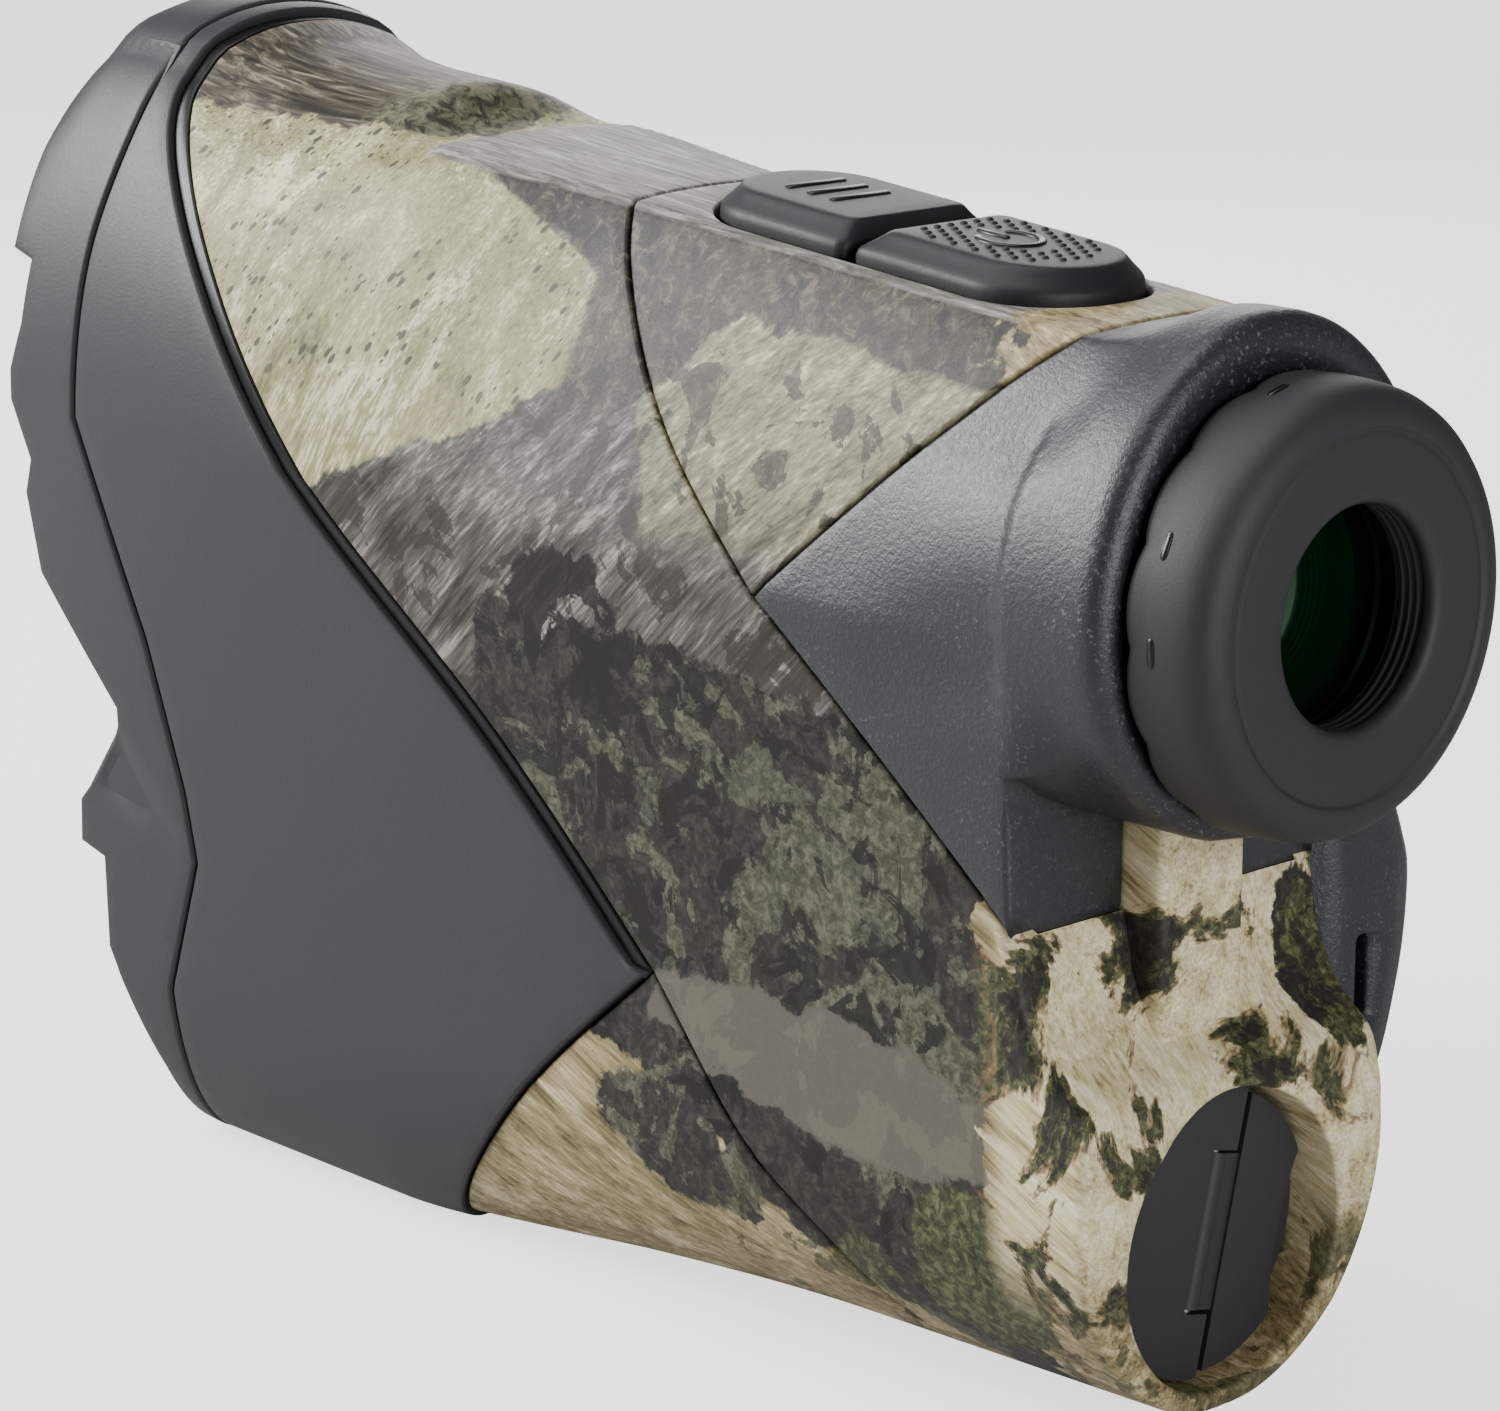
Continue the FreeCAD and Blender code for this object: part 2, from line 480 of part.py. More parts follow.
def keypad():
    """Two rubber keys side by side on the top cover, over their switch board."""
    keys = (("mode_key", PAD_FRONT_Y, TROUGH_FRONT_Y, STEM_Y[0]),
            ("power_key", PAD_REAR_Y, TROUGH_REAR_Y, STEM_Y[1]))
    foot = KEY_GROUND - KEY_DROP
    rise = ((foot, 0.0), (KEY_GROUND + 0.5, -0.1), (KEY_GROUND + 1.5, -0.75), (KEY_GROUND + KEY_HEIGHT, -1.7))
    for name, round_y, flat_y, y in keys:
        key = Part.makeLoft([level(key_outline(round_y, flat_y, grow), z) for z, grow in rise], True, True)
        key = key.cut(plan(key_outline(round_y, flat_y, -1.7), foot - 1, KEY_GROUND + 0.6))
        stem = box(-STEM_HALF, STEM_HALF, y - STEM_HALF, y + STEM_HALF, BOARD_TOP + 1.6, KEY_GROUND + 0.8)
        keep(name, lean(key.fuse(stem).removeSplitter()))
    keep("key_board", lean(box(-6.0, 6.0, -40.5, -11.0, BOARD_TOP - 1.0, BOARD_TOP)))
    switches = [box(-2.0, 2.0, y - 2.0, y + 2.0, BOARD_TOP, BOARD_TOP + 0.7) for y in STEM_Y]
    keep("key_switches", lean(Part.makeCompound(switches)))


def optics():
    """Viewing objective, laser emitter, prisms, display and receiver."""
    r = OBJECTIVE_R
    z = OBJECTIVE_Z
    wide = r + BARREL_WALL
    barrel = tube(wide, r + 0.1, 31.0, 47.0, 0, z).fuse(tube(wide, r - 1.2, 34.0, 36.0, 0, z))
    barrel = barrel.fuse(tube(wide, r - 2.0, 29.0, 31.0, 0, z)).fuse(tube(NECK_R, r - 2.0, 10.0, 29.0, 0, z))
    keep("objective_barrel", barrel.removeSplitter())
    keep("objective_lens", lens(r, 36.0, 6.0, 1.6, z))
    keep("objective_retainer", tube(r + 0.1, r - 1.3, 42.2, 43.6, 0, z))
    r = EMITTER_R
    z = EMITTER_Z
    wide = r + BARREL_WALL
    barrel = tube(wide, r + 0.1, 26.0, 42.0, 0, z).fuse(tube(wide, r - 1.0, 28.0, 30.0, 0, z))
    barrel = barrel.fuse(tube(wide, r - 1.0, 8.0, 26.0, 0, z))
    barrel = barrel.fuse(tube(wide, DIODE_FLANGE_R, 5.0, 8.0, 0, z))
    keep("emitter_barrel", barrel.removeSplitter())
    keep("emitter_lens", lens(r, 30.0, 4.6, 1.2, z))
    keep("emitter_retainer", tube(r + 0.1, r - 1.1, 34.8, 36.2, 0, z))
    keep("laser_diode", rod(2.8, 3.8, 8.0, 0, z).fuse(rod(DIODE_FLANGE_R, 5.0, 6.2, 0, z)))
    keep("diode_holder", tube(wide, DIODE_FLANGE_R, 2.6, 5.0, 0, z).fuse(tube(6.0, 2.9, 2.6, 3.7, 0, z)))
    frame = box(-9.8, 9.8, -34.0, -8.0, SHELF_Z, 66.5)
    frame = frame.cut(box(-8.2, 8.2, -32.0, -10.0, 46.6, 65.0))
    keep("prism_holder", frame.cut(rod(7.2, -36, -30, 0, EYE_Z)).cut(rod(7.2, -12, -6, 0, EYE_Z)))
    keep("roof_prism", plan([(-8.2, -32.0), (8.2, -32.0), (0.0, -22.0)], 46.6, 65.0))
    keep("erecting_prism", plan([(-8.2, -10.0), (0.0, -20.0), (8.2, -10.0)], 46.6, 65.0))
    keep("display_glass", box(-6.0, 6.0, -38.4, -37.4, EYE_Z - 6, EYE_Z + 6))
    holder = box(-8.5, 8.5, -39.2, -34.0, EYE_Z - 8.5, EYE_Z + 8.5)
    holder = holder.cut(box(-6.0, 6.0, -38.4, -30, EYE_Z - 6.0, EYE_Z + 6.0))
    keep("display_holder", holder.cut(rod(5.0, -40, -36, 0, EYE_Z)))
    keep("receiver_module", rod(4.2, -8.0, -4.5, 0, 48.5).fuse(rod(3.0, -4.5, -2.0, 0, 48.5)))


def electronics():
    """Main circuit board with its larger components."""
    keep("main_board", box(9.0, BOARD_X, -36.0, 3.0, 25.5, 43.0))
    chips = [box(7.9, 9.0, -30.0, -21.0, 30.0, 39.0), box(7.9, 9.0, -16.0, -9.0, 31.0, 37.0),
             box(7.7, 9.0, -5.0, 0.0, 28.5, 33.0)]
    keep("board_components", Part.makeCompound(chips))


def chassis():
    """Inner frame that holds both barrels, the prisms and the board."""
    frame = body(WALL + 0.3, PLATE_Y[0], PLATE_Y[1])
    frame = frame.cut(rod(NECK_R, 8, 30, 0, OBJECTIVE_Z))
    frame = frame.cut(rod(EMITTER_R + BARREL_WALL, 10, 30, 0, EMITTER_Z))
    frame = frame.fuse(box(-12.2, -11.0, -34.0, PLATE_Y[0] + 0.5, 27.0, SHELF_Z))
    frame = frame.fuse(box(-12.2, 11.8, -34.0, -2.0, SHELF_Z - 0.8, SHELF_Z))
    for y in (-33.0, -6.0):
        frame = frame.fuse(box(BOARD_X, 11.8, y, y + 3.0, 27.0, SHELF_Z))
    screws = []
    head_y = PLATE_Y[0] - 1.3
    for x, z in SCREW_SPOTS:
        frame = frame.cut(rod(SCREW_R, PLATE_Y[0] - 4, PLATE_Y[1] + 4, x, z))
        screw = rod(SCREW_R, PLATE_Y[0], PLATE_Y[1] + 5.0, x, z)
        screws.append(screw.fuse(rod(1.6, head_y, PLATE_Y[0], x, z)))
    keep("chassis", largest(frame.removeSplitter()))
    keep("chassis_screws", Part.makeCompound(screws))


def tripod_insert():
    """Metal 1/4-20 insert, flush with the base plane."""
    groove = Part.makeCylinder(INSERT_R + 1, 1.0, V(0, 0, 4.0), UP)
    groove = groove.cut(Part.makeCylinder(INSERT_R - 0.5, 1.0, V(0, 0, 4.0), UP))
    insert = Part.makeCylinder(INSERT_R, INSERT_LENGTH, V(0, 0, 0), UP).cut(groove)
    keep("tripod_insert", insert.cut(Part.makeCylinder(SOCKET_R, SOCKET_DEPTH, V(0, 0, 0), UP)))


def palm_grip(outer):
    """Rubber swell on the right with the slot for a wrist lanyard."""
    outline = [(10.0, 14.5), (20.0, 15.0), (22.8, 18.5), (24.6, 23.9), (25.4, 28.2), (25.5, 33.7),
               (24.9, 34.1), (23.4, 38.0), (20.5, 42.0), (17.5, 44.0), (10.0, 45.0)]

    def ring(y, reach, shrink):
        points = [V(10 + (x - 10) * reach, y, 31 + (z - 31) * shrink) for x, z in outline]
        return Part.makePolygon(points + [points[0]])

    swell = Part.makeLoft([ring(-50.8, 0.9, 0.94), ring(-49.6, 1.0, 1.0), ring(-43.5, 1.0, 1.0),
                           ring(-34.0, 0.72, 0.92), ring(-24.0, 0.38, 0.8)], True, True)
    swell = swell.cut(outer)
    swell = swell.cut(box(18.7, 20.1, -55.0, -42.0, 23.0, 29.0))
    keep("palm_grip", largest(swell.cut(box(17.6, 40.0, -45.0, -38.0, 21.0, 31.2))))


def main():
    outer = shells()
    tripod_insert()
    palm_grip(outer)
    battery_group()
    eyepiece_group()
    keypad()
    optics()
    electronics()
    chassis()
    for name, shape in SHAPES.items():
        shape.exportStep("parts/" + name + ".step")
        print(name, len(shape.Solids), round(shape.Volume, 1), shape.isValid())


main()
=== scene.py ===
import math

import bmesh
import bpy
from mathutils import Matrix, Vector
from mathutils.geometry import delaunay_2d_cdt


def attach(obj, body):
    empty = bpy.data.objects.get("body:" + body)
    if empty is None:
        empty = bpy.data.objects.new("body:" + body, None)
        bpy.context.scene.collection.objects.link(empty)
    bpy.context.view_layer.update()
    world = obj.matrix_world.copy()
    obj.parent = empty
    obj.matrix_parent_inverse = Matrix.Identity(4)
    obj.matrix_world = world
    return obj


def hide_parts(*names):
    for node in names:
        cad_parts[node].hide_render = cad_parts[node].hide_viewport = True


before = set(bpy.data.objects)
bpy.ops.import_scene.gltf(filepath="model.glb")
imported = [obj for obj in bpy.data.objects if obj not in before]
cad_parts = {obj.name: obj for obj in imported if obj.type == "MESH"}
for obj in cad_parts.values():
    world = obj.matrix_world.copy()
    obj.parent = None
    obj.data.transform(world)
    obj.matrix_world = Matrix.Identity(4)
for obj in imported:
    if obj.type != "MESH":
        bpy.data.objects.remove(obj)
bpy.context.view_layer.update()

# Laser rangefinder. Shapes below are worked out in millimetres in the row frame: origin at the
# tripod socket's mouth, +Z up, +Y forward, +X to the user's right. make() turns them into metres.
MM = 0.001

# ---- the CAD's outline, as (station y, value) pairs ----
EDGE_X = [(-50, 8.0), (-6, 8.0), (14, 10.0), (30, 10.0), (55, 9.5)]
BARREL_Z = [(14, 79.7), (22, 80.3), (30, 80.9), (36, 82.0), (41, 84.0), (46, 84.9), (50, 84.9),
            (53, 83.6), (55, 81.4)]
CROWN = [(-50, 0.3), (15.6, 0.4), (16.9, 0.8), (20.2, 3.0), (32, 3.0), (42, 2.3), (55, 2.3)]
UPPER_X = [(-50, 14.0), (-6, 14.6), (14, 17.0), (30, 18.6), (45, 19.3), (55, 19.3)]
UPPER_Z = [(-50, 67.0), (-6, 69.0), (14, 72.5), (30, 74.5), (45, 75.5), (55, 75.5)]
RIDGE_X = [(-57, 16.4), (-50, 16.5), (0, 18.0), (45, 19.3), (55, 19.3)]
RIDGE_Z = [(-50, 54.7), (-6, 55.1), (19, 56.1), (45, 56.7), (55, 57.0)]
WAIST = [(-57, -0.9), (0, -0.6), (45, 0.0)]
LOW_X = [(-57, 15.2), (-28, 15.6), (0, 16.4), (48, 17.9)]
LOW_Z = [(-57, 17.5), (-48, 16.8), (-25, 15.2), (-3, 14.2), (11, 13.2), (36, 13.1), (48, 12.3)]
BASE_X = [(-57, 0.5), (-30, 2.0), (-10, 5.5), (5, 9.0), (15, 11.0), (40, 11.0), (55, 9.0)]
BASE_Z = [(-57, 1.2), (-30, 1.2), (-14, 0.9), (0, 0.3), (10, 0.0), (36, 0.0), (46, 1.4), (55, 6.0)]
BILGE_W = [(-57, 0.68), (-30, 0.75), (-10, 0.75), (5, 0.82), (20, 0.9), (55, 0.9)]
BILGE_X = [(-57, 0.6), (-10, 0.3), (20, 0.8), (55, 1.2)]
CREASE = [(-57, 0.045), (8, 0.05), (22, 0.4), (55, 0.4)]     # softness of the top's long edges

# ---- seams, in side view as (y, z), the same as the CAD's ----
HIGH = 95.0
BELOW = -6.0
TIP = (-16.3, 25.8)
VERTEX = (-27.8, 54.9)
SKIRT_Y = -50.0
SHOULDER_Y = -58.8
EYE_Z = 57.1
BATTERY_Z = 13.0
FLAT_Y = -6.0             # the rear flat of the top is FLAT_START high here, and rises forward by FLAT_RISE
FLAT_START = 78.0
FLAT_RISE = 0.094


def along(y, table):
    """Smooth value at station y through the (station, value) pairs of a table."""
    if y <= table[0][0]:
        return table[0][1]
    if y >= table[-1][0]:
        return table[-1][1]
    last = len(table) - 1
    i = max(k for k in range(last) if table[k][0] <= y)
    rise = [(table[k + 1][1] - table[k][1]) / (table[k + 1][0] - table[k][0]) for k in range(last)]

    def slope(k):
        if k in (0, last):
            return rise[min(k, last - 1)]
        a, b = rise[k - 1], rise[k]
        return 0.0 if a * b <= 0 else 2 * a * b / (a + b)

    h = table[i + 1][0] - table[i][0]
    t = (y - table[i][0]) / h
    start, end = table[i][1], table[i + 1][1]
    ease = (2 * t ** 3 - 3 * t ** 2 + 1) * start + (3 * t ** 2 - 2 * t ** 3) * end
    return ease + (t ** 3 - 2 * t ** 2 + t) * h * slope(i) + (t ** 3 - t ** 2) * h * slope(i + 1)


def smoothstep(a, b, x):
    t = min(max((x - a) / (b - a), 0.0), 1.0)
    return t * t * (3 - 2 * t)


def conic(p, q, r, weight, t):
    a, b, c = (1 - t) ** 2, 2 * t * (1 - t) * weight, t * t
    s = a + b + c
    return ((a * p[0] + b * q[0] + c * r[0]) / s, (a * p[1] + b * q[1] + c * r[1]) / s)


_stations = {}


def station(y):
    """The named points of the right half section at y."""
    key = round(y, 3)
    if key not in _stations:
        edge_x = along(y, EDGE_X)
        edge_z = FLAT_START + FLAT_RISE * (y - FLAT_Y) if y < 14 else along(y, BARREL_Z)
        ridge = (along(y, RIDGE_X), along(y, RIDGE_Z))
        low = (along(y, LOW_X), along(y, LOW_Z))
        base = (along(y, BASE_X), along(y, BASE_Z))
        upper = (along(y, UPPER_X), along(y, UPPER_Z))
        waist = ((ridge[0] + low[0]) / 2 + 2 * along(y, WAIST), (ridge[1] + low[1]) / 2)
        bilge = (low[0] - along(y, BILGE_X), base[1])
        _stations[key] = (edge_x, edge_z, along(y, CROWN), upper, ridge, waist, low, bilge, base,
                          along(y, BILGE_W), along(y, CREASE))
    return _stations[key]


def raw_section(y, s):
    """Half section at y: s runs 0 top centre, 1 top edge, 2 ridge, 3 low line, 4 base edge, 5 base centre."""
    edge_x, edge_z, crown, upper, ridge, waist, low, bilge, base, weight, _ = station(y)
    s = abs(s)
    if s > 5:
        s = 10 - s
    if s <= 1:
        return (edge_x * s, edge_z + crown * (1 - s * s))
    if s <= 2:
        return conic((edge_x, edge_z), upper, ridge, 0.9, s - 1)
    if s <= 3:
        return conic(ridge, waist, low, 1.0, s - 2)
    if s <= 4:
        return conic(low, bilge, base, weight, s - 3)
    return (base[0] * (5 - s), base[1])


LENGTHS = (9.0, 27.0, 41.0, 22.0, 10.0)          # typical length of each stretch of the half section
MARKS = [sum(LENGTHS[:k]) for k in range(6)]
WHOLE = MARKS[-1]


def to_s(v):
    """Stretch parameter for v, the rough distance round the section from the top centre."""
    v = min(max(v, 0.0), WHOLE)
    k = min(max(j for j in range(5) if MARKS[j] <= v + 1e-9), 4)
    return k + (v - MARKS[k]) / LENGTHS[k]


def section(y, v):
    """Half section with its corners rounded."""
    s = to_s(v)
    corner = min(max(round(s), 1), 4)
    softness = (station(y)[10], 0.05, 0.035, 0.10)[corner - 1]
    reach = max(0.0, softness - abs(s - corner))
    if reach == 0.0:
        return raw_section(y, s)
    total_x = total_z = total = 0.0
    for k in range(-3, 4):
        weight = 4 - abs(k)
        side = 1.0
        q = s + reach * k / 3
        if q < 0:
            side = -1.0
        x, z = raw_section(y, q)
        total_x += weight * x * side
        total_z += weight * z
        total += weight
    return (total_x / total, total_z / total)


def skin_point(y, v):
    x, z = section(y, v)
    return Vector((0.0 if v <= 0 or v >= WHOLE else x, y, z))


def shroud_point(y, v):
    """Body skin that swells into the round shoulder of the eyepiece towards the rear."""
    p = skin_point(y, v)
    weight = smoothstep(-35.0, -49.0, y) * smoothstep(48.0, 57.0, p.z) * smoothstep(71.0, 63.0, p.z)
    if weight > 0:
        a = math.atan2(p.x, p.z - EYE_Z)
        p = p.lerp(shoulder_point(y, a), weight)
    return p


def shoulder_point(y, a):
    grow = along(y, [(-50.0, 1.0), (-54.5, 0.85), (-57.3, 0.45), (SHOULDER_Y, 0.0)])
    return Vector(((16.0 + 0.6 * grow) * math.sin(a), y,
                   EYE_Z + (16.0 + (2.6 * grow * smoothstep(-0.3, 1.0, math.cos(a)))) * math.cos(a)))


def normal_of(surface, y, v):
    """Outward normal of a right-half surface at (y, v)."""
    h = 0.25
    along_y = surface(y + h, v) - surface(y - h, v)
    lo, hi = max(v - h, 0.0), min(v + h, WHOLE)
    round_v = surface(y, hi) - surface(y, lo)
    n = round_v.cross(along_y)
    if v <= 0 or v >= WHOLE:
        n.x = 0.0
    return n.normalized()


# ---- outlines in the (y, v) plane ----
def smooth(points, steps=8):
    """A flowing line through given (y, z) points (centripetal Catmull-Rom)."""
    line = []
    pts = [tuple(2 * points[0][k] - points[1][k] for k in (0, 1))] + list(points)
    pts.append(tuple(2 * points[-1][k] - points[-2][k] for k in (0, 1)))
    for i in range(1, len(pts) - 2):
        p = [Vector(pts[i + k]) for k in (-1, 0, 1, 2)]
        t = [0.0]
        for k in range(3):
            t.append(t[-1] + max((p[k + 1] - p[k]).length, 1e-6) ** 0.5)
        for j in range(steps):
            u = t[1] + (t[2] - t[1]) * j / steps
            a = [p[k].lerp(p[k + 1], (u - t[k]) / (t[k + 1] - t[k])) for k in range(3)]
            b = [a[k].lerp(a[k + 1], (u - t[k]) / (t[k + 2] - t[k])) for k in range(2)]
            q = b[0].lerp(b[1], (u - t[1]) / (t[2] - t[1]))
            line.append((q.x, q.y))
    return line + [tuple(points[-1])]


def offset_line(line, distance):
    """A line moved forward and down, to the grip panel's side of the seam."""
    moved = []
    for k in range(len(line)):
        a = line[max(k - 1, 0)]
        b = line[min(k + 1, len(line) - 1)]
        dy, dz = b[0] - a[0], b[1] - a[1]
        size = math.hypot(dy, dz)
        moved.append((line[k][0] - distance * dz / size, line[k][1] + distance * dy / size))
    return moved


BEZEL_LINE = ([(44.0, HIGH)] + smooth([(44.0, 86.0), (43.6, 78.0), (44.9, 69.0), (45.6, 57.0)])
              + [(38.2, 40.5), (34.6, 29.0), (33.6, 23.5), (37.6, 12.3), (37.0, BELOW)])
PANEL_LINE = [(40.5, HIGH)] + smooth([(40.8, 86.0), (39.6, 81.0), (30.0, 68.5), (18.6, 56.0),
                                      (-1.4, 39.8), TIP])
PANEL_LOW = smooth([TIP, (-5.6, 16.5), (3.4, 6.7), (9.0, 0.0)]) + [(11.5, BELOW)]
LOWER_LINE = smooth([TIP, (-24.6, 16.4), (-33.0, 10.0), (-41.5, 1.0)]) + [(-44.0, BELOW)]
COVER_LINE = [(-6.0, HIGH)] + smooth([(-6.0, 78.2), (-8.2, 74.3), (-16.1, 64.7), VERTEX])
SHROUD_TOP = smooth([VERTEX, (-38.5, 64.9), (-45.5, 71.2), (-49.0, 74.0)]) + [(-49.6, HIGH)]
SHROUD_LOW = smooth([VERTEX, (-40.6, 43.9), (-50.4, 35.5)])
FRONT_LINE = [(49.5, HIGH), (52.5, 84.0), (54.6, 76.0), (55.0, 68.6), (52.4, 68.0), (52.9, 63.3),
              (54.2, 59.6), (54.2, 57.2), (52.0, 52.7), (52.9, 50.0), (51.5, 43.6), (42.6, 34.2),
              (42.6, 33.0), (48.0, 26.0), (48.3, 22.3), (45.4, 21.5), (45.5, 14.2), (40.8, 5.0),
              (38.0, BELOW)]
REAR_LINE = smooth([(-50.0, 35.4), (-51.2, 30.5), (-53.2, 27.0), (-56.0, 24.6), (-57.0, 21.0)], 6) + [
    (-57.0, 13.0), (-57.0, 6.0), (-56.6, 2.5), (-55.6, BELOW)]


def find_v(y, z):
    """v on the right half of the section at y where the skin is at height z."""
    lo, hi = 0.0, WHOLE
    for _ in range(40):
        mid = (lo + hi) / 2
        if raw_section(y, to_s(mid))[1] > z:
            lo = mid
        else:
            hi = mid
    return (lo + hi) / 2


def on_skin(line, step=0.8):
    """A side-view line as evenly spaced (y, v) points, cut off at the top and bottom centre lines."""
    dense = []
    for (y0, z0), (y1, z1) in zip(line, line[1:]):
        n = max(1, int(math.hypot(y1 - y0, z1 - z0) / 0.6))
        dense += [(y0 + (y1 - y0) * k / n, z0 + (z1 - z0) * k / n) for k in range(n)]
    dense.append(line[-1])
    flat = [(y, find_v(y, z)) for y, z in dense]
    kept = [flat[0]]
    for p in flat[1:]:
        ends = (p[1] < 0.05, p[1] > WHOLE - 0.05)
        last = (kept[-1][1] < 0.05, kept[-1][1] > WHOLE - 0.05)
        if ends != last or not any(ends):
            kept.append(p)
        elif len(kept) == 1:
            kept[-1] = p
    kept = [(y, 0.0 if v < 0.05 else WHOLE if v > WHOLE - 0.05 else v) for y, v in kept]
    corners = set()
    for k in range(1, len(kept) - 1):
        a = Vector(kept[k]) - Vector(kept[k - 1])
        b = Vector(kept[k + 1]) - Vector(kept[k])
        if a.length > 0 and b.length > 0 and a.angle(b) > 0.35:
            corners.add(k)
    out = []
    start = 0
    stops = sorted(corners) + [len(kept) - 1]
    for stop in stops:
        piece = [Vector(p) for p in kept[start:stop + 1]]
        length = sum((b - a).length for a, b in zip(piece, piece[1:]))
        n = max(1, round(length / step))
        targets = [length * k / n for k in range(n)]
        walked, j = 0.0, 0
        for target in targets:
            while j < len(piece) - 2 and walked + (piece[j + 1] - piece[j]).length < target:
                walked += (piece[j + 1] - piece[j]).length
                j += 1
            gap = (piece[j + 1] - piece[j]).length
            q = piece[j].lerp(piece[j + 1], 0.0 if gap == 0 else min((target - walked) / gap, 1.0))
            out.append((q.x, q.y))
        start = stop
    out.append(kept[-1])
    return out


def straight(a, b, step=1.0):
    n = max(1, round((Vector(b) - Vector(a)).length / step))
    return [(a[0] + (b[0] - a[0]) * k / n, a[1] + (b[1] - a[1]) * k / n) for k in range(n + 1)]


def joined(*lines):
    """Closed outline from lines laid end to end."""
    ring = []
    for line in lines:
        for p in line:
            if not ring or (Vector(p) - Vector(ring[-1])).length > 0.15:
                ring.append(tuple(p))
    if (Vector(ring[0]) - Vector(ring[-1])).length <= 0.15:
        ring.pop()
    area = sum(a[0] * b[1] - b[0] * a[1] for a, b in zip(ring, ring[1:] + ring[:1]))
    return ring if area > 0 else ring[::-1]


def on_centre(p):
    return p[1] <= 1e-6 or p[1] >= WHOLE - 1e-6


def thin_corners(ring, room):
    """Drops points that crowd a sharp corner, so that the outline can be inset cleanly."""
    n = len(ring)
    drop, sharp = set(), set()
    for k in range(n):
        a = Vector(ring[k]) - Vector(ring[k - 1])
        b = Vector(ring[(k + 1) % n]) - Vector(ring[k])
        if a.length > 0 and b.length > 0 and a.angle(b) > 0.5:
            sharp.add(k)
            for j in range(-4, 5):
                q = ring[(k + j) % n]
                if j and (Vector(q) - Vector(ring[k])).length < room and not on_centre(q):
                    drop.add((k + j) % n)
    return [ring[k] for k in range(n) if k not in drop or k in sharp]


def inset_ring(ring, distances):
    """Each point moved inwards by its own distance; points on the centre lines slide along them."""
    n = len(ring)
    moved = []
    for k in range(n):
        distance = distances[k]
        p = Vector(ring[k])
        a = (p - Vector(ring[k - 1])).normalized()
        b = (Vector(ring[(k + 1) % n]) - p).normalized()
        in_a, in_b = Vector((-a.y, a.x)), Vector((-b.y, b.x))
        if on_centre(ring[k]):
            before, after = on_centre(ring[k - 1]), on_centre(ring[(k + 1) % n])
            if before and after:
                moved.append(tuple(p))
                continue
            inward = in_b if before else in_a
            slide = distance / inward.x if abs(inward.x) > 0.2 else 0.0
            moved.append((p.x + slide, p.y))
            continue
        mid = in_a + in_b
        if mid.length < 1e-6:
            moved.append(tuple(p))
            continue
        mid.normalize()
        q = p + mid * min(distance / max(mid.dot(in_a), 0.35), 2.6 * distance)
        moved.append((q.x, min(max(q.y, 0.02), WHOLE - 0.02)))
    return moved


def every(value, ring):
    """The value at each outline point, from a number or a function of (y, v)."""
    return [value(p) if callable(value) else value for p in ring]


def inside(p, ring):
    hit = False
    for (y0, v0), (y1, v1) in zip(ring, ring[1:] + ring[:1]):
        if (v0 > p[1]) != (v1 > p[1]) and p[0] < y0 + (y1 - y0) * (p[1] - v0) / (v1 - v0):
            hit = not hit
    return hit


def far_from(p, ring, room):
    for (y0, v0), (y1, v1) in zip(ring, ring[1:] + ring[:1]):
        d, out = Vector((y1 - y0, v1 - v0)), Vector(p) - Vector((y0, v0))
        t = 0.0 if d.length_squared == 0 else min(max(out.dot(d) / d.length_squared, 0), 1)
        if (out - d * t).length < room:
            return False
    return True


def fill_points(ring, spacing):
    """Inner points on rows that follow the section's corner lines."""
    rows = []
    for k in range(5):
        n = max(2, round(LENGTHS[k] / spacing))
        rows += [MARKS[k] + LENGTHS[k] * j / n for j in range(n)]
    for mark in MARKS[1:5]:
        rows += [mark - 0.4, mark + 0.4, mark - 0.85, mark + 0.85]
    rows = sorted(rows)
    y_lo, y_hi = min(p[0] for p in ring), max(p[0] for p in ring)
    points = []
    for j, v in enumerate(rows):
        shift = 0.5 * (j % 2)
        for i in range(int((y_hi - y_lo) / spacing) + 2):
            p = (y_lo + (i + shift) * spacing, v)
            if inside(p, ring) and far_from(p, ring, 0.5 * spacing):
                points.append(p)
    return points


# ---- mesh building ----
def make(name, verts, faces, material, slot, body="housing", replaces=()):
    mesh = bpy.data.meshes.new(name)
    mesh.from_pydata([Vector(v) * MM for v in verts], [], faces)
    mesh.validate()
    mesh.update()
    obj = bpy.data.objects.new(name, mesh)
    bpy.context.scene.collection.objects.link(obj)
    for poly in mesh.polygons:
        poly.use_smooth = True
    mesh.materials.append(material)
    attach(obj, body)
    if replaces:
        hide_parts(*replaces)
    return obj


def quads(rows, columns, closed=True, start=0):
    """Faces between neighbouring rows of a grid of vertices."""
    return [[start + t * columns + k, start + t * columns + (k + 1) % columns,
             start + (t + 1) * columns + (k + 1) % columns, start + (t + 1) * columns + k]
            for t in range(rows - 1) for k in range(columns if closed else columns - 1)]


def weld(verts, faces, reach=0.004):
    """Merges vertices that coincide."""
    index, kept, where = {}, [], []
    for v in verts:
        key = tuple(round(c / reach) for c in v)
        if key not in index:
            index[key] = len(kept)
            kept.append(v)
        where.append(index[key])
    out = []
    for f in faces:
        g = []
        for i in f:
            if where[i] not in g:
                g.append(where[i])
        if len(g) > 2:
            out.append(g)
    return kept, out


def mirrored(verts, faces):
    n = len(verts)
    return (verts + [Vector((-v[0], v[1], v[2])) for v in verts],
            faces + [[n + i for i in reversed(f)] for f in faces])


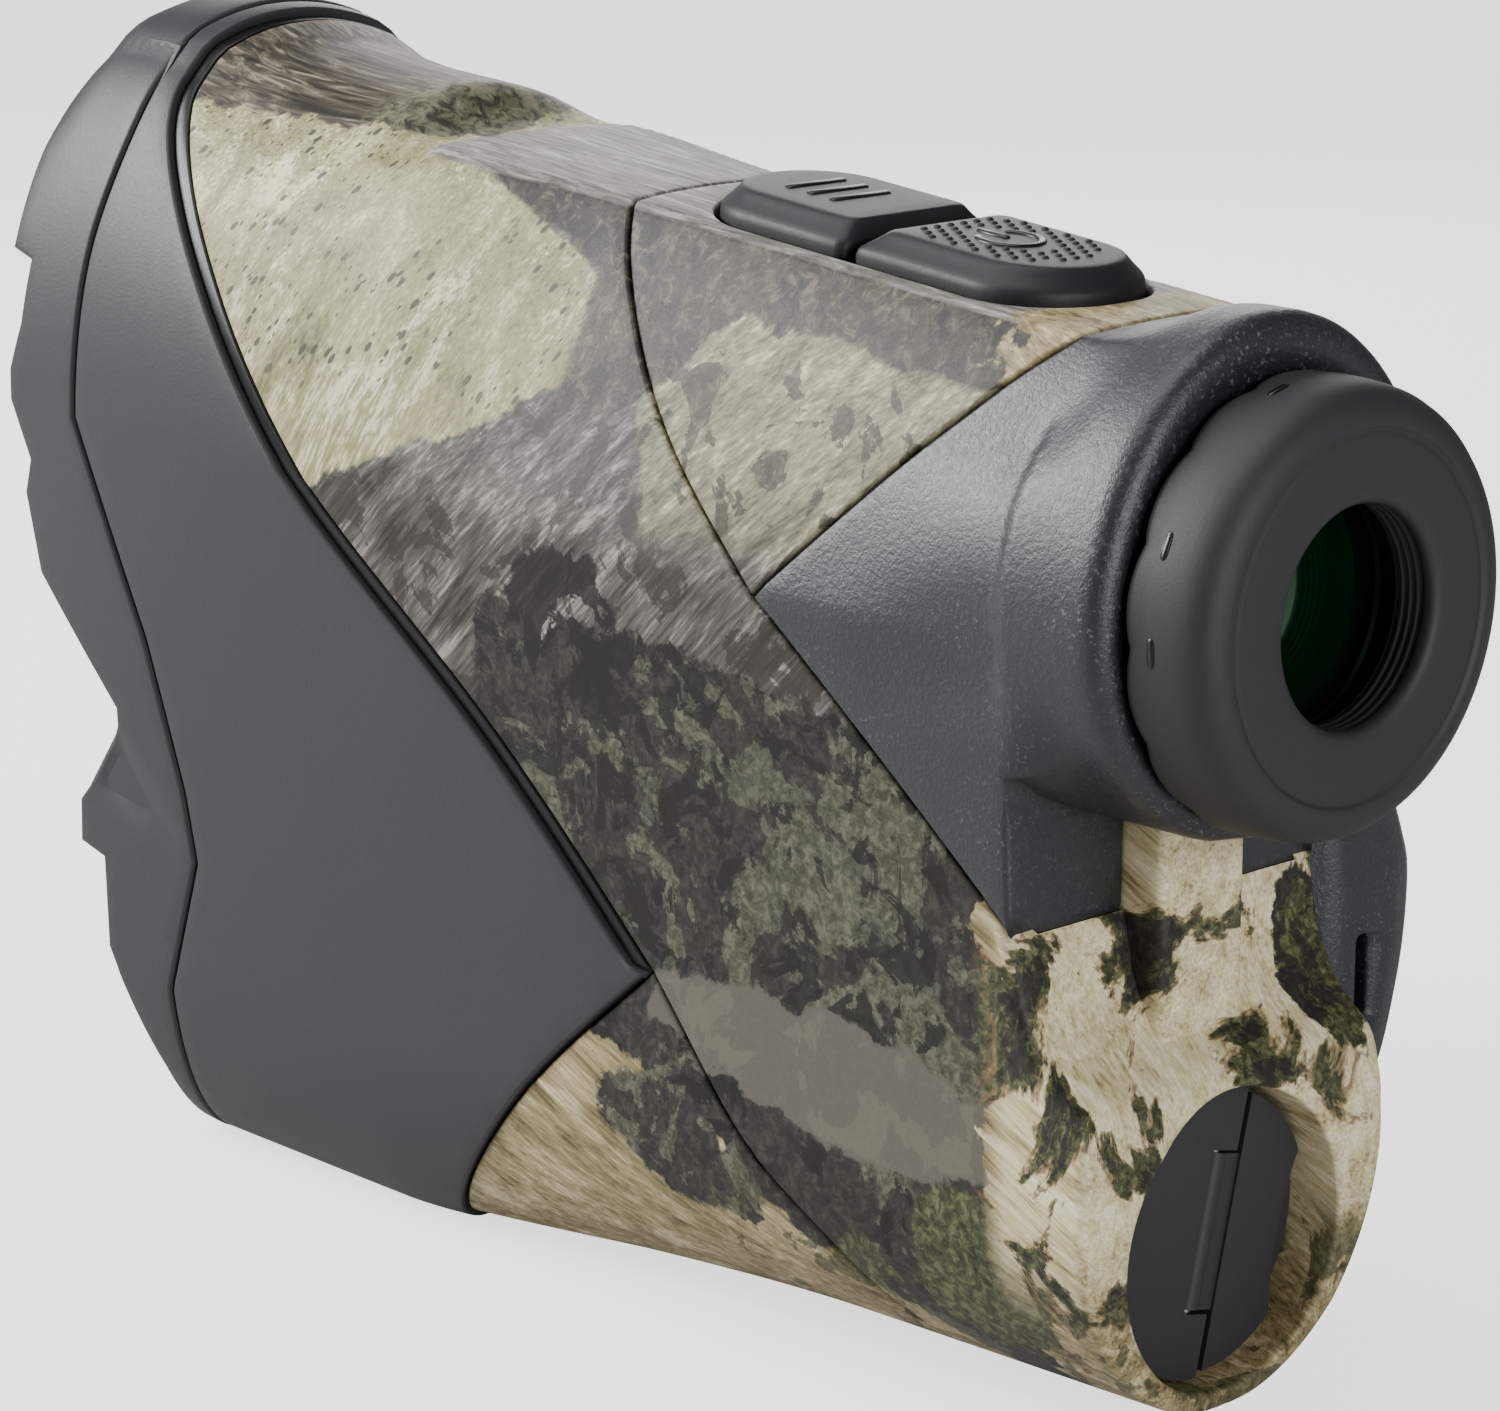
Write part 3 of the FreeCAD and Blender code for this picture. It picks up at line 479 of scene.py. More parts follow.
def skin(ring, surface=skin_point, lift=0.0, gap=0.1, radius=0.35, depth=1.5, spacing=1.3, open_at=None):
    """Half of a shell part: smooth outside, rounded lips along its seams and a short wall behind them.

    gap and radius are numbers or functions of (y, v). Where open_at(y, v) is true the lip turns in but
    gets no wall. Returns vertices, faces and the edges at the end of the lip, as vertex pairs."""
    ring = thin_corners(ring, 1.2)
    gaps, radii = every(gap, ring), every(radius, ring)
    outer = inset_ring(ring, gaps)
    inner = inset_ring(ring, [g + r for g, r in zip(gaps, radii)])
    points = fill_points(inner, spacing)
    coords = [Vector(p) for p in inner + points]
    out = delaunay_2d_cdt(coords, [], [list(range(len(inner)))], 1, 1e-5)
    flat, _, faces, origin = out[0], out[1], out[2], out[3]
    verts, where = [], {}
    for i, p in enumerate(flat):
        n = normal_of(surface, p.x, p.y)
        verts.append(surface(p.x, p.y) + n * lift)
        for source in origin[i]:
            where[source] = i
    faces = [list(f) for f in faces]
    probe = faces[0]
    a, b, c = (verts[i] for i in probe[:3])
    centre = sum((flat[i] for i in probe), Vector((0, 0))) / len(probe)
    if (b - a).cross(c - a).dot(normal_of(surface, centre.x, centre.y)) < 0:
        faces = [f[::-1] for f in faces]
    count = len(inner)
    turns = 4
    rings = [[where[k] for k in range(count)]]
    ends = []
    for t in range(1, turns + 2):
        row = []
        for k in range(count):
            start = verts[rings[0][k]]
            n = normal_of(surface, inner[k][0], inner[k][1])
            edge = surface(outer[k][0], outer[k][1]) + n * lift
            if t <= turns:
                angle = math.pi / 2 * t / turns
                p = start + (edge - start) * math.sin(angle) - n * radii[k] * (1 - math.cos(angle))
            else:
                p = edge - n * (radii[k] + depth)
            if on_centre(inner[k]):
                p.x = 0.0
            row.append(len(verts))
            verts.append(p)
        rings.append(row)
    for k in range(count):
        m = (k + 1) % count
        if on_centre(inner[k]) and on_centre(inner[m]):
            ends.append(None)
            continue
        ends.append((rings[turns][k], rings[turns][m]))
        last = turns if open_at and open_at(ring[k]) and open_at(ring[m]) else turns + 1
        for t in range(last):
            faces.append([rings[t][k], rings[t][m], rings[t + 1][m], rings[t + 1][k]])
    used = set(i for f in faces for i in f)
    renumber, kept = {}, []
    for i in sorted(used):
        renumber[i] = len(kept)
        kept.append(verts[i])
    faces = [[renumber[i] for i in f] for f in faces]
    chain = [(renumber[e[0]], renumber[e[1]]) for e in ends if e and e[0] in renumber and e[1] in renumber]
    return kept, faces, chain


def fix_winding(obj):
    """Makes the faces of a piece agree, pointing outwards."""
    bm = bmesh.new()
    bm.from_mesh(obj.data)
    bmesh.ops.recalc_face_normals(bm, faces=bm.faces)
    bm.to_mesh(obj.data)
    bm.free()
    return obj


def shell_piece(name, ring, material, slot, replaces, **options):
    verts, faces, _ = skin(ring, **options)
    verts, faces = mirrored(verts, faces)
    verts, faces = weld(verts, faces)
    return make(name, verts, faces, material, slot, replaces=replaces)


# ---- materials ----
def rgb(r, g, b):
    """Linear colour from 0-255 display values."""
    def linear(c):
        c /= 255
        return c / 12.92 if c <= 0.04045 else ((c + 0.055) / 1.055) ** 2.4
    return (linear(r), linear(g), linear(b), 1.0)


class Paint:
    """A principled material with short calls for the nodes it uses."""

    def __init__(self, name, color=(0.5, 0.5, 0.5, 1), roughness=0.5, **sockets):
        self.mat = bpy.data.materials.new(name)
        self.mat.use_nodes = True
        self.tree = self.mat.node_tree
        self.bsdf = self.tree.nodes["Principled BSDF"]
        self.set("Base Color", color)
        self.set("Roughness", roughness)
        for key, value in sockets.items():
            self.set(key.replace("_", " "), value)
        self.where = None

    def set(self, socket, value):
        self.feed(self.bsdf.inputs[socket], value)

    def feed(self, socket, value):
        if isinstance(value, bpy.types.NodeSocket):
            self.tree.links.new(value, socket)
        else:
            socket.default_value = value

    def node(self, kind, out=0, settings=None, **inputs):
        n = self.tree.nodes.new("ShaderNode" + kind)
        for key, value in (settings or {}).items():
            setattr(n, key, value)
        for key, value in inputs.items():
            self.feed(n.inputs[int(key[1:]) if key[0] == "i" and key[1:].isdigit() else key], value)
        return n.outputs[out]

    def place(self):
        """Object-space position in millimetres."""
        if self.where is None:
            spot = self.node("TexCoord", 3)
            self.where = self.node("VectorMath", settings={"operation": "SCALE"}, i0=spot, i3=1000.0)
        return self.where

    def parts(self):
        n = self.tree.nodes.new("ShaderNodeSeparateXYZ")
        self.feed(n.inputs[0], self.place())
        return n.outputs

    def math(self, operation, a, b=0.0, c=0.0):
        return self.node("Math", settings={"operation": operation}, i0=a, i1=b, i2=c)

    def stretch(self, scale, turn=(0.0, 0.0, 0.0), base=None):
        n = self.tree.nodes.new("ShaderNodeMapping")
        self.feed(n.inputs["Vector"], base or self.place())
        n.inputs["Rotation"].default_value = turn
        n.inputs["Scale"].default_value = scale
        return n.outputs[0]

    def noise(self, vector, scale=1.0, detail=2.0, rough=0.5, warp=0.0):
        return self.node("TexNoise", Vector=vector, Scale=scale, Detail=detail, Roughness=rough, Distortion=warp)

    def step(self, value, lo, hi):
        return self.node("MapRange", settings={"interpolation_type": "SMOOTHSTEP"}, i0=value, i1=lo, i2=hi)

    def ramp(self, value, stops):
        """Colours along value, from (position, red, green, blue) stops."""
        n = self.tree.nodes.new("ShaderNodeValToRGB")
        self.feed(n.inputs[0], value)
        bar = n.color_ramp.elements
        while len(bar) < len(stops):
            bar.new(0.5)
        for element, (place, *color) in zip(bar, stops):
            element.position = place
            element.color = rgb(*color)
        return n.outputs[0]

    def mix(self, fac, a, b, blend="MIX"):
        n = self.tree.nodes.new("ShaderNodeMix")
        n.data_type = "RGBA"
        n.blend_type = blend
        self.feed(n.inputs["Factor"], fac)
        self.feed(n.inputs[6], a)
        self.feed(n.inputs[7], b)
        return n.outputs[2]

    def bump(self, height, strength, distance):
        self.set("Normal", self.node("Bump", Height=height, Strength=strength, Distance=distance))


def grained(name, color, roughness, grain, depth, spread=0.12, **sockets):
    """Moulded plastic or rubber: fine grain in bump and a little in tone."""
    p = Paint(name, color, roughness, **sockets)
    fine = p.noise(p.place(), 1.0 / grain, 3.0, 0.6)
    broad = p.noise(p.place(), 0.12, 3.0, 0.5)
    tone = p.math("ADD", p.math("MULTIPLY", fine, spread), p.math("MULTIPLY", broad, 0.10))
    tone = p.math("ADD", tone, 1.0 - spread / 2 - 0.05)
    p.set("Base Color", p.mix(1.0, color, tone, "MULTIPLY"))
    p.set("Roughness", p.math("ADD", p.math("MULTIPLY", fine, 0.14), roughness - 0.07))
    p.bump(fine, 0.5, depth * MM)
    return p.mat


def speckled_rubber(name, color, grain=0.38):
    """Cast rubber with a sandy grain whose tips have gone a little pale."""
    p = Paint(name, color, 0.5, Specular_IOR_Level=0.55)
    sand = p.noise(p.place(), 1.0 / grain, 2.0, 0.75)
    tips = p.step(sand, 0.57, 0.70)
    broad = p.noise(p.place(), 0.11, 4.0, 0.6)
    wear = p.step(broad, 0.44, 0.66)
    pale = tuple(min(1.0, c * 4.5 + 0.05) for c in color[:3]) + (1.0,)
    tone = p.mix(p.math("MULTIPLY", tips, p.math("MULTIPLY_ADD", wear, 0.65, 0.20)), color, pale)
    p.set("Base Color", tone)
    p.set("Roughness", p.math("MULTIPLY_ADD", sand, 0.30, 0.30))
    p.bump(sand, 0.6, 0.10 * MM)
    return p.mat


def camouflage(name):
    """Printed woodland pattern, laid out over the body in object space."""
    p = Paint(name, roughness=0.45, Specular_IOR_Level=0.25)
    x, y, z = p.parts()
    edge = p.noise(p.place(), 0.15, 6.0, 0.62, 0.4)
    edge_fine = p.noise(p.place(), 0.6, 4.0, 0.65)
    ragged = p.math("ADD", p.math("MULTIPLY_ADD", edge, 17.0, -8.5),
                    p.math("MULTIPLY_ADD", edge_fine, 4.4, -2.2))

    def both(a, b):
        return p.math("MULTIPLY", a, b)

    def line(slope_y, slope_z, offset, soft=0.22, rough=1.0):
        """Mask of the side of a straight line in (y, z), with a torn edge."""
        d = p.math("MULTIPLY_ADD", y, slope_y, p.math("MULTIPLY_ADD", z, slope_z, offset))
        return p.step(p.math("MULTIPLY_ADD", ragged, rough, d), -soft, soft)

    def blob(cy, cz, ry, rz, turn=0.0, soft=0.05, rough=0.08, level=y):
        """Mask of an ellipse with a torn edge, in side view, or in rear view where level is x."""
        c, s = math.cos(turn), math.sin(turn)
        u = p.math("MULTIPLY_ADD", level, c / ry, p.math("MULTIPLY_ADD", z, s / ry, -(cy * c + cz * s) / ry))
        w = p.math("MULTIPLY_ADD", level, -s / rz, p.math("MULTIPLY_ADD", z, c / rz, (cy * s - cz * c) / rz))
        r = p.math("SQRT", p.math("ADD", p.math("MULTIPLY", u, u), p.math("MULTIPLY", w, w)))
        return p.step(p.math("MULTIPLY_ADD", ragged, rough, r), 1.0 + soft, 1.0 - soft)

    def shifted(amount):
        return p.node("VectorMath", settings={"operation": "ADD"}, i0=p.place(),
                      i1=(amount, amount * 0.7, -amount))

    def patches(scale, level, seed, detail=6.0, rough=0.62, warp=0.7, soft=0.008):
        """Crisp torn patches; a higher level leaves fewer of them."""
        return p.step(p.noise(shifted(seed), scale, detail, rough, warp), level - soft, level + soft)

    def streaks(turn, long, wide, detail=5.0, warp=0.8):
        """Fibres in side view: long along the direction turned from +Y, wide across it."""
        base = p.stretch((1.0, 1.0, 1.0), (turn, 0.0, 0.0))
        return p.noise(p.stretch((1.0 / wide, 1.0 / long, 1.0 / wide), base=base), 1.0, detail, 0.62, warp)

    def fibres(fine, broad, warp=0.3):
        """Fine streaks over broad ones, each given as (turn, long, wide)."""
        return p.math("MULTIPLY_ADD", streaks(*fine, 3.0, warp), 0.45, p.math("MULTIPLY", streaks(*broad), 0.55))

    def outside(mask):
        return p.math("SUBTRACT", 1.0, mask)

    def over(color, mask, top, share=1.0):
        return p.mix(mask if share == 1.0 else p.math("MULTIPLY", mask, share), color, top)

    # grey bark with pale fibres that fan down towards the rear
    fan = fibres((0.75, 6.0, 0.30), (0.85, 15.0, 1.8))
    grey = p.ramp(fan, [(0.36, 36, 34, 30), (0.46, 68, 66, 60), (0.54, 96, 93, 87), (0.64, 160, 156, 147)])
    grey = over(grey, patches(0.16, 0.56, 11.0), rgb(46, 43, 37), 0.75)

    # pale feathery patch with dark flecks, high at the front
    quill = fibres((1.05, 5.0, 0.26), (1.15, 17.0, 3.2))
    feather = p.ramp(quill, [(0.34, 98, 96, 62), (0.45, 138, 135, 94), (0.54, 164, 158, 118), (0.66, 216, 206, 170)])
    cream = both(patches(0.09, 0.50, 5.0, 3.0, 0.5, 0.5, 0.06), p.step(quill, 0.50, 0.60))
    feather = over(feather, cream, rgb(226, 214, 184), 0.8)
    flecks = None
    for size, level in ((0.62, 0.30), (1.05, 0.26)):
        dots = p.stretch((1.0, 1.0, 1.0), (0.9, 0.0, 0.0))
        dots = p.stretch((size, size * 0.62, size * 1.5), base=dots)
        cell = p.tree.nodes.new("ShaderNodeTexVoronoi")
        p.feed(cell.inputs["Vector"], dots)
        cell.inputs["Scale"].default_value = 1.0
        cell.inputs["Randomness"].default_value = 0.9
        near = p.math("MULTIPLY_ADD", edge_fine, 0.25, cell.outputs["Distance"])
        mark = p.step(near, level + 0.06, level)
        flecks = mark if flecks is None else p.math("MAXIMUM", flecks, mark)
    flecks = both(flecks, p.step(p.noise(shifted(3.0), 0.085, 2.0), 0.40, 0.50))
    speck = p.math("MAXIMUM", both(flecks, p.step(z, 58.0, 66.0)), both(flecks, p.step(z, 72.0, 78.0)))
    feather = over(feather, speck, rgb(48, 50, 36), 0.9)

    # dark wood of the top, with long lines, and the pale grey painted sheen of its rear flat
    grain = p.noise(p.stretch((1.3, 0.07, 1.0)), 1.0, 5.0, 0.62, 1.3)
    wood = p.ramp(grain, [(0.36, 30, 26, 21), (0.47, 62, 55, 46), (0.56, 92, 84, 72), (0.66, 142, 134, 118)])
    mottle = p.noise(shifted(7.0), 0.8, 6.0, 0.7, 0.8)
    brown = p.ramp(mottle, [(0.40, 14, 12, 9), (0.48, 32, 29, 22), (0.55, 56, 51, 40), (0.64, 98, 91, 72)])
    flat_sheen_grey = p.ramp(grain, [(0.36, 78, 76, 70), (0.5, 118, 116, 110), (0.64, 164, 162, 154)])

    # leaf litter in the middle: crisp patches of near-black, olive and grey green
    blotch = p.noise(shifted(2.0), 1.3, 5.0, 0.68, 0.6)
    shade = p.ramp(blotch, [(0.38, 31, 30, 26), (0.50, 44, 42, 37), (0.62, 60, 58, 51)])
    olive = p.ramp(blotch, [(0.38, 54, 55, 44), (0.50, 74, 75, 62), (0.62, 98, 99, 84)])
    green = p.ramp(blotch, [(0.38, 62, 65, 52), (0.50, 84, 87, 72), (0.62, 108, 110, 94)])
    black = rgb(19, 18, 16)
    dark = over(shade, patches(0.10, 0.535, 21.0), olive)
    dark = over(dark, patches(0.21, 0.565, 33.0), black, 0.85)
    dark = over(dark, patches(0.24, 0.615, 44.0, 4.0, warp=0.4), green, 0.55)

    # bleached bark at the bottom and the rear
    lay = fibres((-0.45, 5.0, 0.30), (-0.35, 13.0, 1.9), 0.4)
    tan = p.ramp(lay, [(0.35, 76, 66, 42), (0.45, 126, 113, 78), (0.54, 160, 147, 110), (0.65, 208, 195, 158)])
    moss = p.ramp(blotch, [(0.38, 42, 44, 27), (0.50, 68, 70, 46), (0.62, 104, 104, 73)])
    rust = rgb(112, 78, 48)

    color = grey
    patch = both(line(0.42, 1.0, -63.2, 0.25, 0.22), line(0.42, -1.0, 75.8, 0.25, 0.16))
    patch = both(patch, line(1.0, 0.15, 1.0, 0.3, 0.30))
    color = over(color, patch, feather)
    # dark mottled wood over the patch and at the head of the rear cover
    wedge = both(line(-0.42, 1.0, -75.8, 0.25, 0.16), p.step(z, 66.0, 68.0))
    color = over(color, wedge, brown)
    fade = both(wedge, p.step(y, 8.0, 30.0))
    color = over(color, both(fade, outside(flecks)), feather, 0.45)
    color = over(color, both(wedge, both(flecks, p.step(y, -2.0, 6.0))), black)
    # the rear cover: pale fanned bark with dark hollows
    cover = both(line(-1.0, 0.30, -33.5, 0.3, 0.35), p.step(z, 56.0, 60.0))
    color = over(color, cover, p.ramp(fan, [(0.36, 66, 62, 46), (0.46, 112, 107, 84),
                                            (0.55, 146, 140, 114), (0.66, 206, 198, 170)]))
    color = over(color, both(cover, patches(0.17, 0.555, 55.0)), brown, 0.8)
    head = both(line(0.9, 1.0, -53.5, 0.3, 0.30), p.step(y, -5.0, -6.5))
    shade_side = both(line(-0.10, 1.0, -74.2, 0.3, 0.22), p.step(y, -5.0, -6.5))
    color = over(color, p.math("MAXIMUM", both(head, p.step(z, 63.0, 66.0)), shade_side), brown, 0.92)
    # the top: dark wood on the barrel, a scooped end in mottled pattern with painted shade, and a painted sheen on
    # the flat behind it
    top = p.step(p.math("SUBTRACT", z, p.math("MULTIPLY_ADD", y, FLAT_RISE, 78.15)), -0.15, 0.15)
    # the rear flat is painted pale grey over the wood grain: a painted sheen
    color = over(color, both(top, p.step(y, 15.0, 14.0)), flat_sheen_grey)
    barrel = both(p.step(y, 13.0, 15.0), p.step(p.math("MULTIPLY_ADD", ragged, 0.22, z), 80.3, 80.6))
    color = over(color, barrel, wood)
    # the scooped end's mottled tone is partly pattern and partly painted shade in its hollow
    scoop_pattern_and_shade = both(p.step(y, 24.0, 21.5), barrel)
    color = over(color, scoop_pattern_and_shade, p.ramp(mottle, [(0.42, 40, 38, 30), (0.5, 92, 92, 72), (0.6, 126, 122, 100)]),
                 0.75)
    # dark middle
    middle = both(line(0.10, -1.0, 51.0, 0.22, 0.55), line(-1.0, -0.28, 13.5, 0.22, 0.35))
    color = over(color, middle, dark)
    color = over(color, both(blob(-31.0, 37.0, 9.5, 4.6, 0.5, rough=0.16), patches(0.12, 0.46, 13.0)), green, 0.6)
    color = over(color, both(blob(-9.0, 50.0, 5.5, 5.5, 0.4), patches(0.22, 0.47, 61.0)), black, 0.9)
    # smooth grey band along the lower edge
    color = over(color, blob(-34.5, 22.2, 18.5, 4.5, 0.09, 0.04, 0.08), rgb(90, 87, 78))
    paler = both(blob(-34.5, 22.2, 17.5, 4.0, 0.09), patches(0.20, 0.54, 71.0))
    color = over(color, paler, rgb(102, 98, 88), 0.8)
    # bottom and rear
    color = over(color, line(0.50, -1.0, 26.0, 0.22, 0.30), tan)
    color = over(color, line(-1.0, 0.10, -51.0, 0.25, 0.7), tan)
    color = over(color, blob(-19.0, 14.0, 7.5, 4.2, 0.35), over(shade, patches(0.30, 0.54, 81.0), olive))
    color = over(color, blob(-34.0, 13.0, 5.0, 3.0, -0.6), shade)
    color = over(color, blob(-47.0, 12.0, 6.5, 6.0, -0.4), moss)
    rear = p.step(y, -46.5, -48.5)
    bright = p.ramp(lay, [(0.35, 128, 116, 78), (0.45, 190, 178, 134), (0.54, 216, 206, 166), (0.65, 240, 232, 204)])
    color = over(color, both(p.step(y, -48.0, -50.5), p.step(z, 8.0, 16.0)), bright)
    color = over(color, both(rear, patches(0.085, 0.545, 91.0)), moss)
    color = over(color, both(rear, patches(0.085, 0.585, 91.0)), shade)
    rim = both(patches(0.085, 0.535, 91.0), outside(patches(0.085, 0.547, 91.0)))
    color = over(color, both(rear, rim), rust, 0.7)
    for cx, cz, rx, rz in ((13.2, 29.0, 3.6, 5.5), (18.0, 12.5, 4.2, 5.0)):
        spot = blob(cx, cz, rx, rz, rough=0.09, level=x)
        color = over(color, both(rear, spot), moss)
        color = over(color, both(rear, both(spot, patches(0.30, 0.50, 37.0))), shade)
    low = both(p.step(z, 14.0, 10.0), p.step(y, -20.0, -24.0))
    color = over(color, both(low, patches(0.15, 0.55, 97.0)), moss, 0.8)

    weave = p.noise(p.place(), 5.5, 1.0, 0.5)
    soil = p.noise(p.place(), 2.4, 4.0, 0.6)
    tone = p.math("MULTIPLY_ADD", weave, 0.14, p.math("MULTIPLY_ADD", soil, 0.30, 0.70))
    p.set("Base Color", p.mix(1.0, color, tone, "MULTIPLY"))
    p.set("Roughness", p.math("MULTIPLY_ADD", weave, 0.12, 0.45))
    p.bump(weave, 0.25, 0.03 * MM)
    return p.mat


CAMO = camouflage("camouflage film")
PANEL = grained("dark moulded plastic", rgb(42, 41, 44), 0.48, 0.28, 0.035, Specular_IOR_Level=0.4)
BEZEL = grained("dark bezel plastic", rgb(42, 41, 44), 0.48, 0.30, 0.035, Specular_IOR_Level=0.4)
RUBBER = speckled_rubber("armour rubber", rgb(32, 33, 37))
EYECUP = grained("eyecup rubber", rgb(37, 37, 39), 0.60, 0.22, 0.03, 0.25, Specular_IOR_Level=0.4)
KEYS = grained("key rubber", rgb(27, 27, 30), 0.52, 0.25, 0.03, 0.2, Specular_IOR_Level=0.35)
MARK = grained("moulded mark", rgb(8, 8, 9), 0.35, 0.25, 0.01)
GASKET = grained("gasket rubber", rgb(8, 8, 9), 0.34, 0.5, 0.005, Specular_IOR_Level=0.3)
CAP = grained("cap plastic", rgb(42, 42, 44), 0.46, 0.26, 0.04, Specular_IOR_Level=0.35)
BLACK = grained("black anodised metal", rgb(18, 18, 19), 0.42, 0.2, 0.01)
STEEL = grained("plain steel", rgb(150, 150, 152), 0.32, 0.4, 0.01, Metallic=1.0)
BRASS = grained("machined brass", rgb(176, 146, 84), 0.30, 0.3, 0.01, Metallic=1.0)
GLASS = Paint("coated lens", rgb(10, 26, 18), 0.03, Coat_Weight=1.0, Coat_Roughness=0.02,
              Coat_Tint=rgb(90, 235, 160), IOR=1.6, Specular_Tint=rgb(110, 240, 170)).mat
FRONT_GLASS = Paint("coated front lens", rgb(16, 12, 30), 0.03, Coat_Weight=1.0, Coat_Roughness=0.02,
                    Coat_Tint=rgb(150, 130, 240), IOR=1.6).mat
BOARD = grained("circuit board", rgb(24, 74, 36), 0.35, 0.5, 0.01)
WRAP = grained("battery sleeve", rgb(40, 52, 92), 0.3, 0.6, 0.01)
INNER = grained("inner black plastic", rgb(22, 22, 23), 0.6, 0.3, 0.02)

# ---- CAD nodes that stay, with their finishes ----
FINISH = {
    "front_bezel": BEZEL, "battery_cap": CAP, "cap_tab": CAP, "cap_tab_pin": STEEL, "cap_seal": GASKET,
    "cap_contact": STEEL, "chamber_contact": STEEL, "battery": WRAP, "diopter_ring": BLACK,
    "eyepiece_tube": BLACK, "ocular_seal": GASKET, "ocular_cell": BLACK, "eye_lens": GLASS,
    "field_lens": GLASS, "key_board": BOARD, "key_switches": INNER, "objective_barrel": BLACK,
    "objective_lens": FRONT_GLASS, "objective_retainer": BLACK, "emitter_barrel": BLACK,
    "emitter_lens": FRONT_GLASS, "emitter_retainer": BLACK, "laser_diode": STEEL, "diode_holder": BLACK,
    "prism_holder": INNER, "roof_prism": GLASS, "erecting_prism": GLASS, "display_glass": GLASS,
    "display_holder": INNER, "receiver_module": BLACK, "main_board": BOARD, "board_components": INNER,
    "chassis": INNER, "chassis_screws": STEEL, "tripod_insert": BRASS,
}
for node, finish in FINISH.items():
    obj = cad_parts[node]
    obj.data.materials.clear()
    obj.data.materials.append(finish)

# ---- shells ----
GASKET_LINE = offset_line(PANEL_LINE, 1.2)
bezel_ring = joined(on_skin(FRONT_LINE), on_skin(BEZEL_LINE)[::-1])
panel_ring = joined(on_skin(BEZEL_LINE), on_skin(PANEL_LOW)[::-1], on_skin(GASKET_LINE)[-3::-1])
gasket_ring = joined(on_skin(PANEL_LINE), on_skin(GASKET_LINE)[::-1])

FACET = [(42.8, 33.6), (33.9, 23.4), (48.5, 26.2)]        # hollow triangle low on the bezel, (y, z)


def bezel_point(y, v):
    p = skin_point(y, v)
    if p.y > 33 and 22 < p.z < 35:
        depth = 9.0
        for (ay, az), (by, bz) in zip(FACET, FACET[1:] + FACET[:1]):
            e = Vector((by - ay, bz - az)).normalized()
            depth = min(depth, e.x * (p.z - az) - e.y * (p.y - ay))
        p.x -= 0.32 * max(0.0, depth)
    return p


shell_piece("bezel_skin", bezel_ring, BEZEL, "dark_shell", (), surface=bezel_point, lift=0.55, radius=0.4,
            depth=1.0, spacing=1.2)
shell_piece("grip_panel_skin", panel_ring, PANEL, "dark_shell", ("grip_panel",), lift=0.45, radius=0.3)
shell_piece("gasket_skin", gasket_ring, GASKET, "gasket_rubber", ("panel_gasket",), lift=-0.12, gap=0.02,
            radius=0.22, depth=1.0, spacing=1.0)

INSERT_R = 4.05


def around_insert():
    """Half circle round the tripod insert, on the keel."""
    arc = []
    for k in range(13):
        a = math.pi * k / 12
        y = INSERT_R * math.cos(a)
        half = along(y, BASE_X)
        arc.append((y, WHOLE - LENGTHS[4] * INSERT_R * math.sin(a) / half if 0 < k < 12 else WHOLE))
    return arc


base_ring = joined(on_skin(PANEL_LOW), straight((9.0, WHOLE), (INSERT_R, WHOLE)), around_insert(),
                   straight((-INSERT_R, WHOLE), (-40.0, WHOLE)), on_skin(LOWER_LINE)[::-1])
shell_piece("base_cover_skin", base_ring, CAMO, "camo_shell", ("base_cover",))

# ---- rear top cover, with the pocket the keys sit in ----
POCKET_HALF = 7.25
POCKET_FRONT = -9.75
POCKET_BACK = -44.75
POCKET_DEEP = 1.5


def pocket_outline(half, front, back, steps=10):
    """Right half of the key pocket in plan, as (x, y) from the front centre to the rear centre."""
    line = [(0.0, front)]
    corner = half * 0.92
    for k in range(steps + 1):
        a = math.pi / 2 * k / steps
        line.append((half - corner + corner * math.sin(a), front - corner + corner * math.cos(a)))
    for k in range(1, steps * 2):
        line.append((half, front - corner + (back - front + 2 * corner) * k / (steps * 2)))
    for k in range(steps + 1):
        a = math.pi / 2 * k / steps
        line.append((half - corner + corner * math.cos(a), back + corner - corner * math.sin(a)))
    return line + [(0.0, back)]


def plan_v(x, y):
    """v on the top at x; the top is flat there, so v follows x."""
    edge_x = along(y, EDGE_X)
    return min(x / edge_x, 1.0) * LENGTHS[0]


pocket = [(y, plan_v(x, y)) for x, y in pocket_outline(POCKET_HALF, POCKET_FRONT, POCKET_BACK)]
cover_ring = joined(straight((-6.0, 0.0), pocket[0], 1.0), pocket, straight(pocket[-1], (-49.5, 0.0), 1.0),
                    on_skin(SHROUD_TOP)[::-1], on_skin(COVER_LINE)[::-1])
shell_piece("rear_cover_skin", cover_ring, CAMO, "camo_shell", ("rear_top_cover",), radius=0.3)

# pocket floor
floor_outline = pocket_outline(POCKET_HALF + 0.15, POCKET_FRONT + 0.15, POCKET_BACK - 0.15)
floor = [Vector((x, y, FLAT_START + FLAT_RISE * (y - FLAT_Y) - POCKET_DEEP)) for x, y in floor_outline]
floor += [Vector((-p.x, p.y, p.z)) for p in reversed(floor[1:-1])]
make("key_pocket_floor", floor, [list(range(len(floor)))[::-1]], CAMO, "camo_shell")

# ---- main housing ----
REAR_LIP = 0.9


def at_rear(p):
    return p[0] < -49.95


def rear_radius(p):
    if not at_rear(p):
        return 0.35
    return REAR_LIP - 0.5 * smoothstep(86.0, 98.0, p[1])


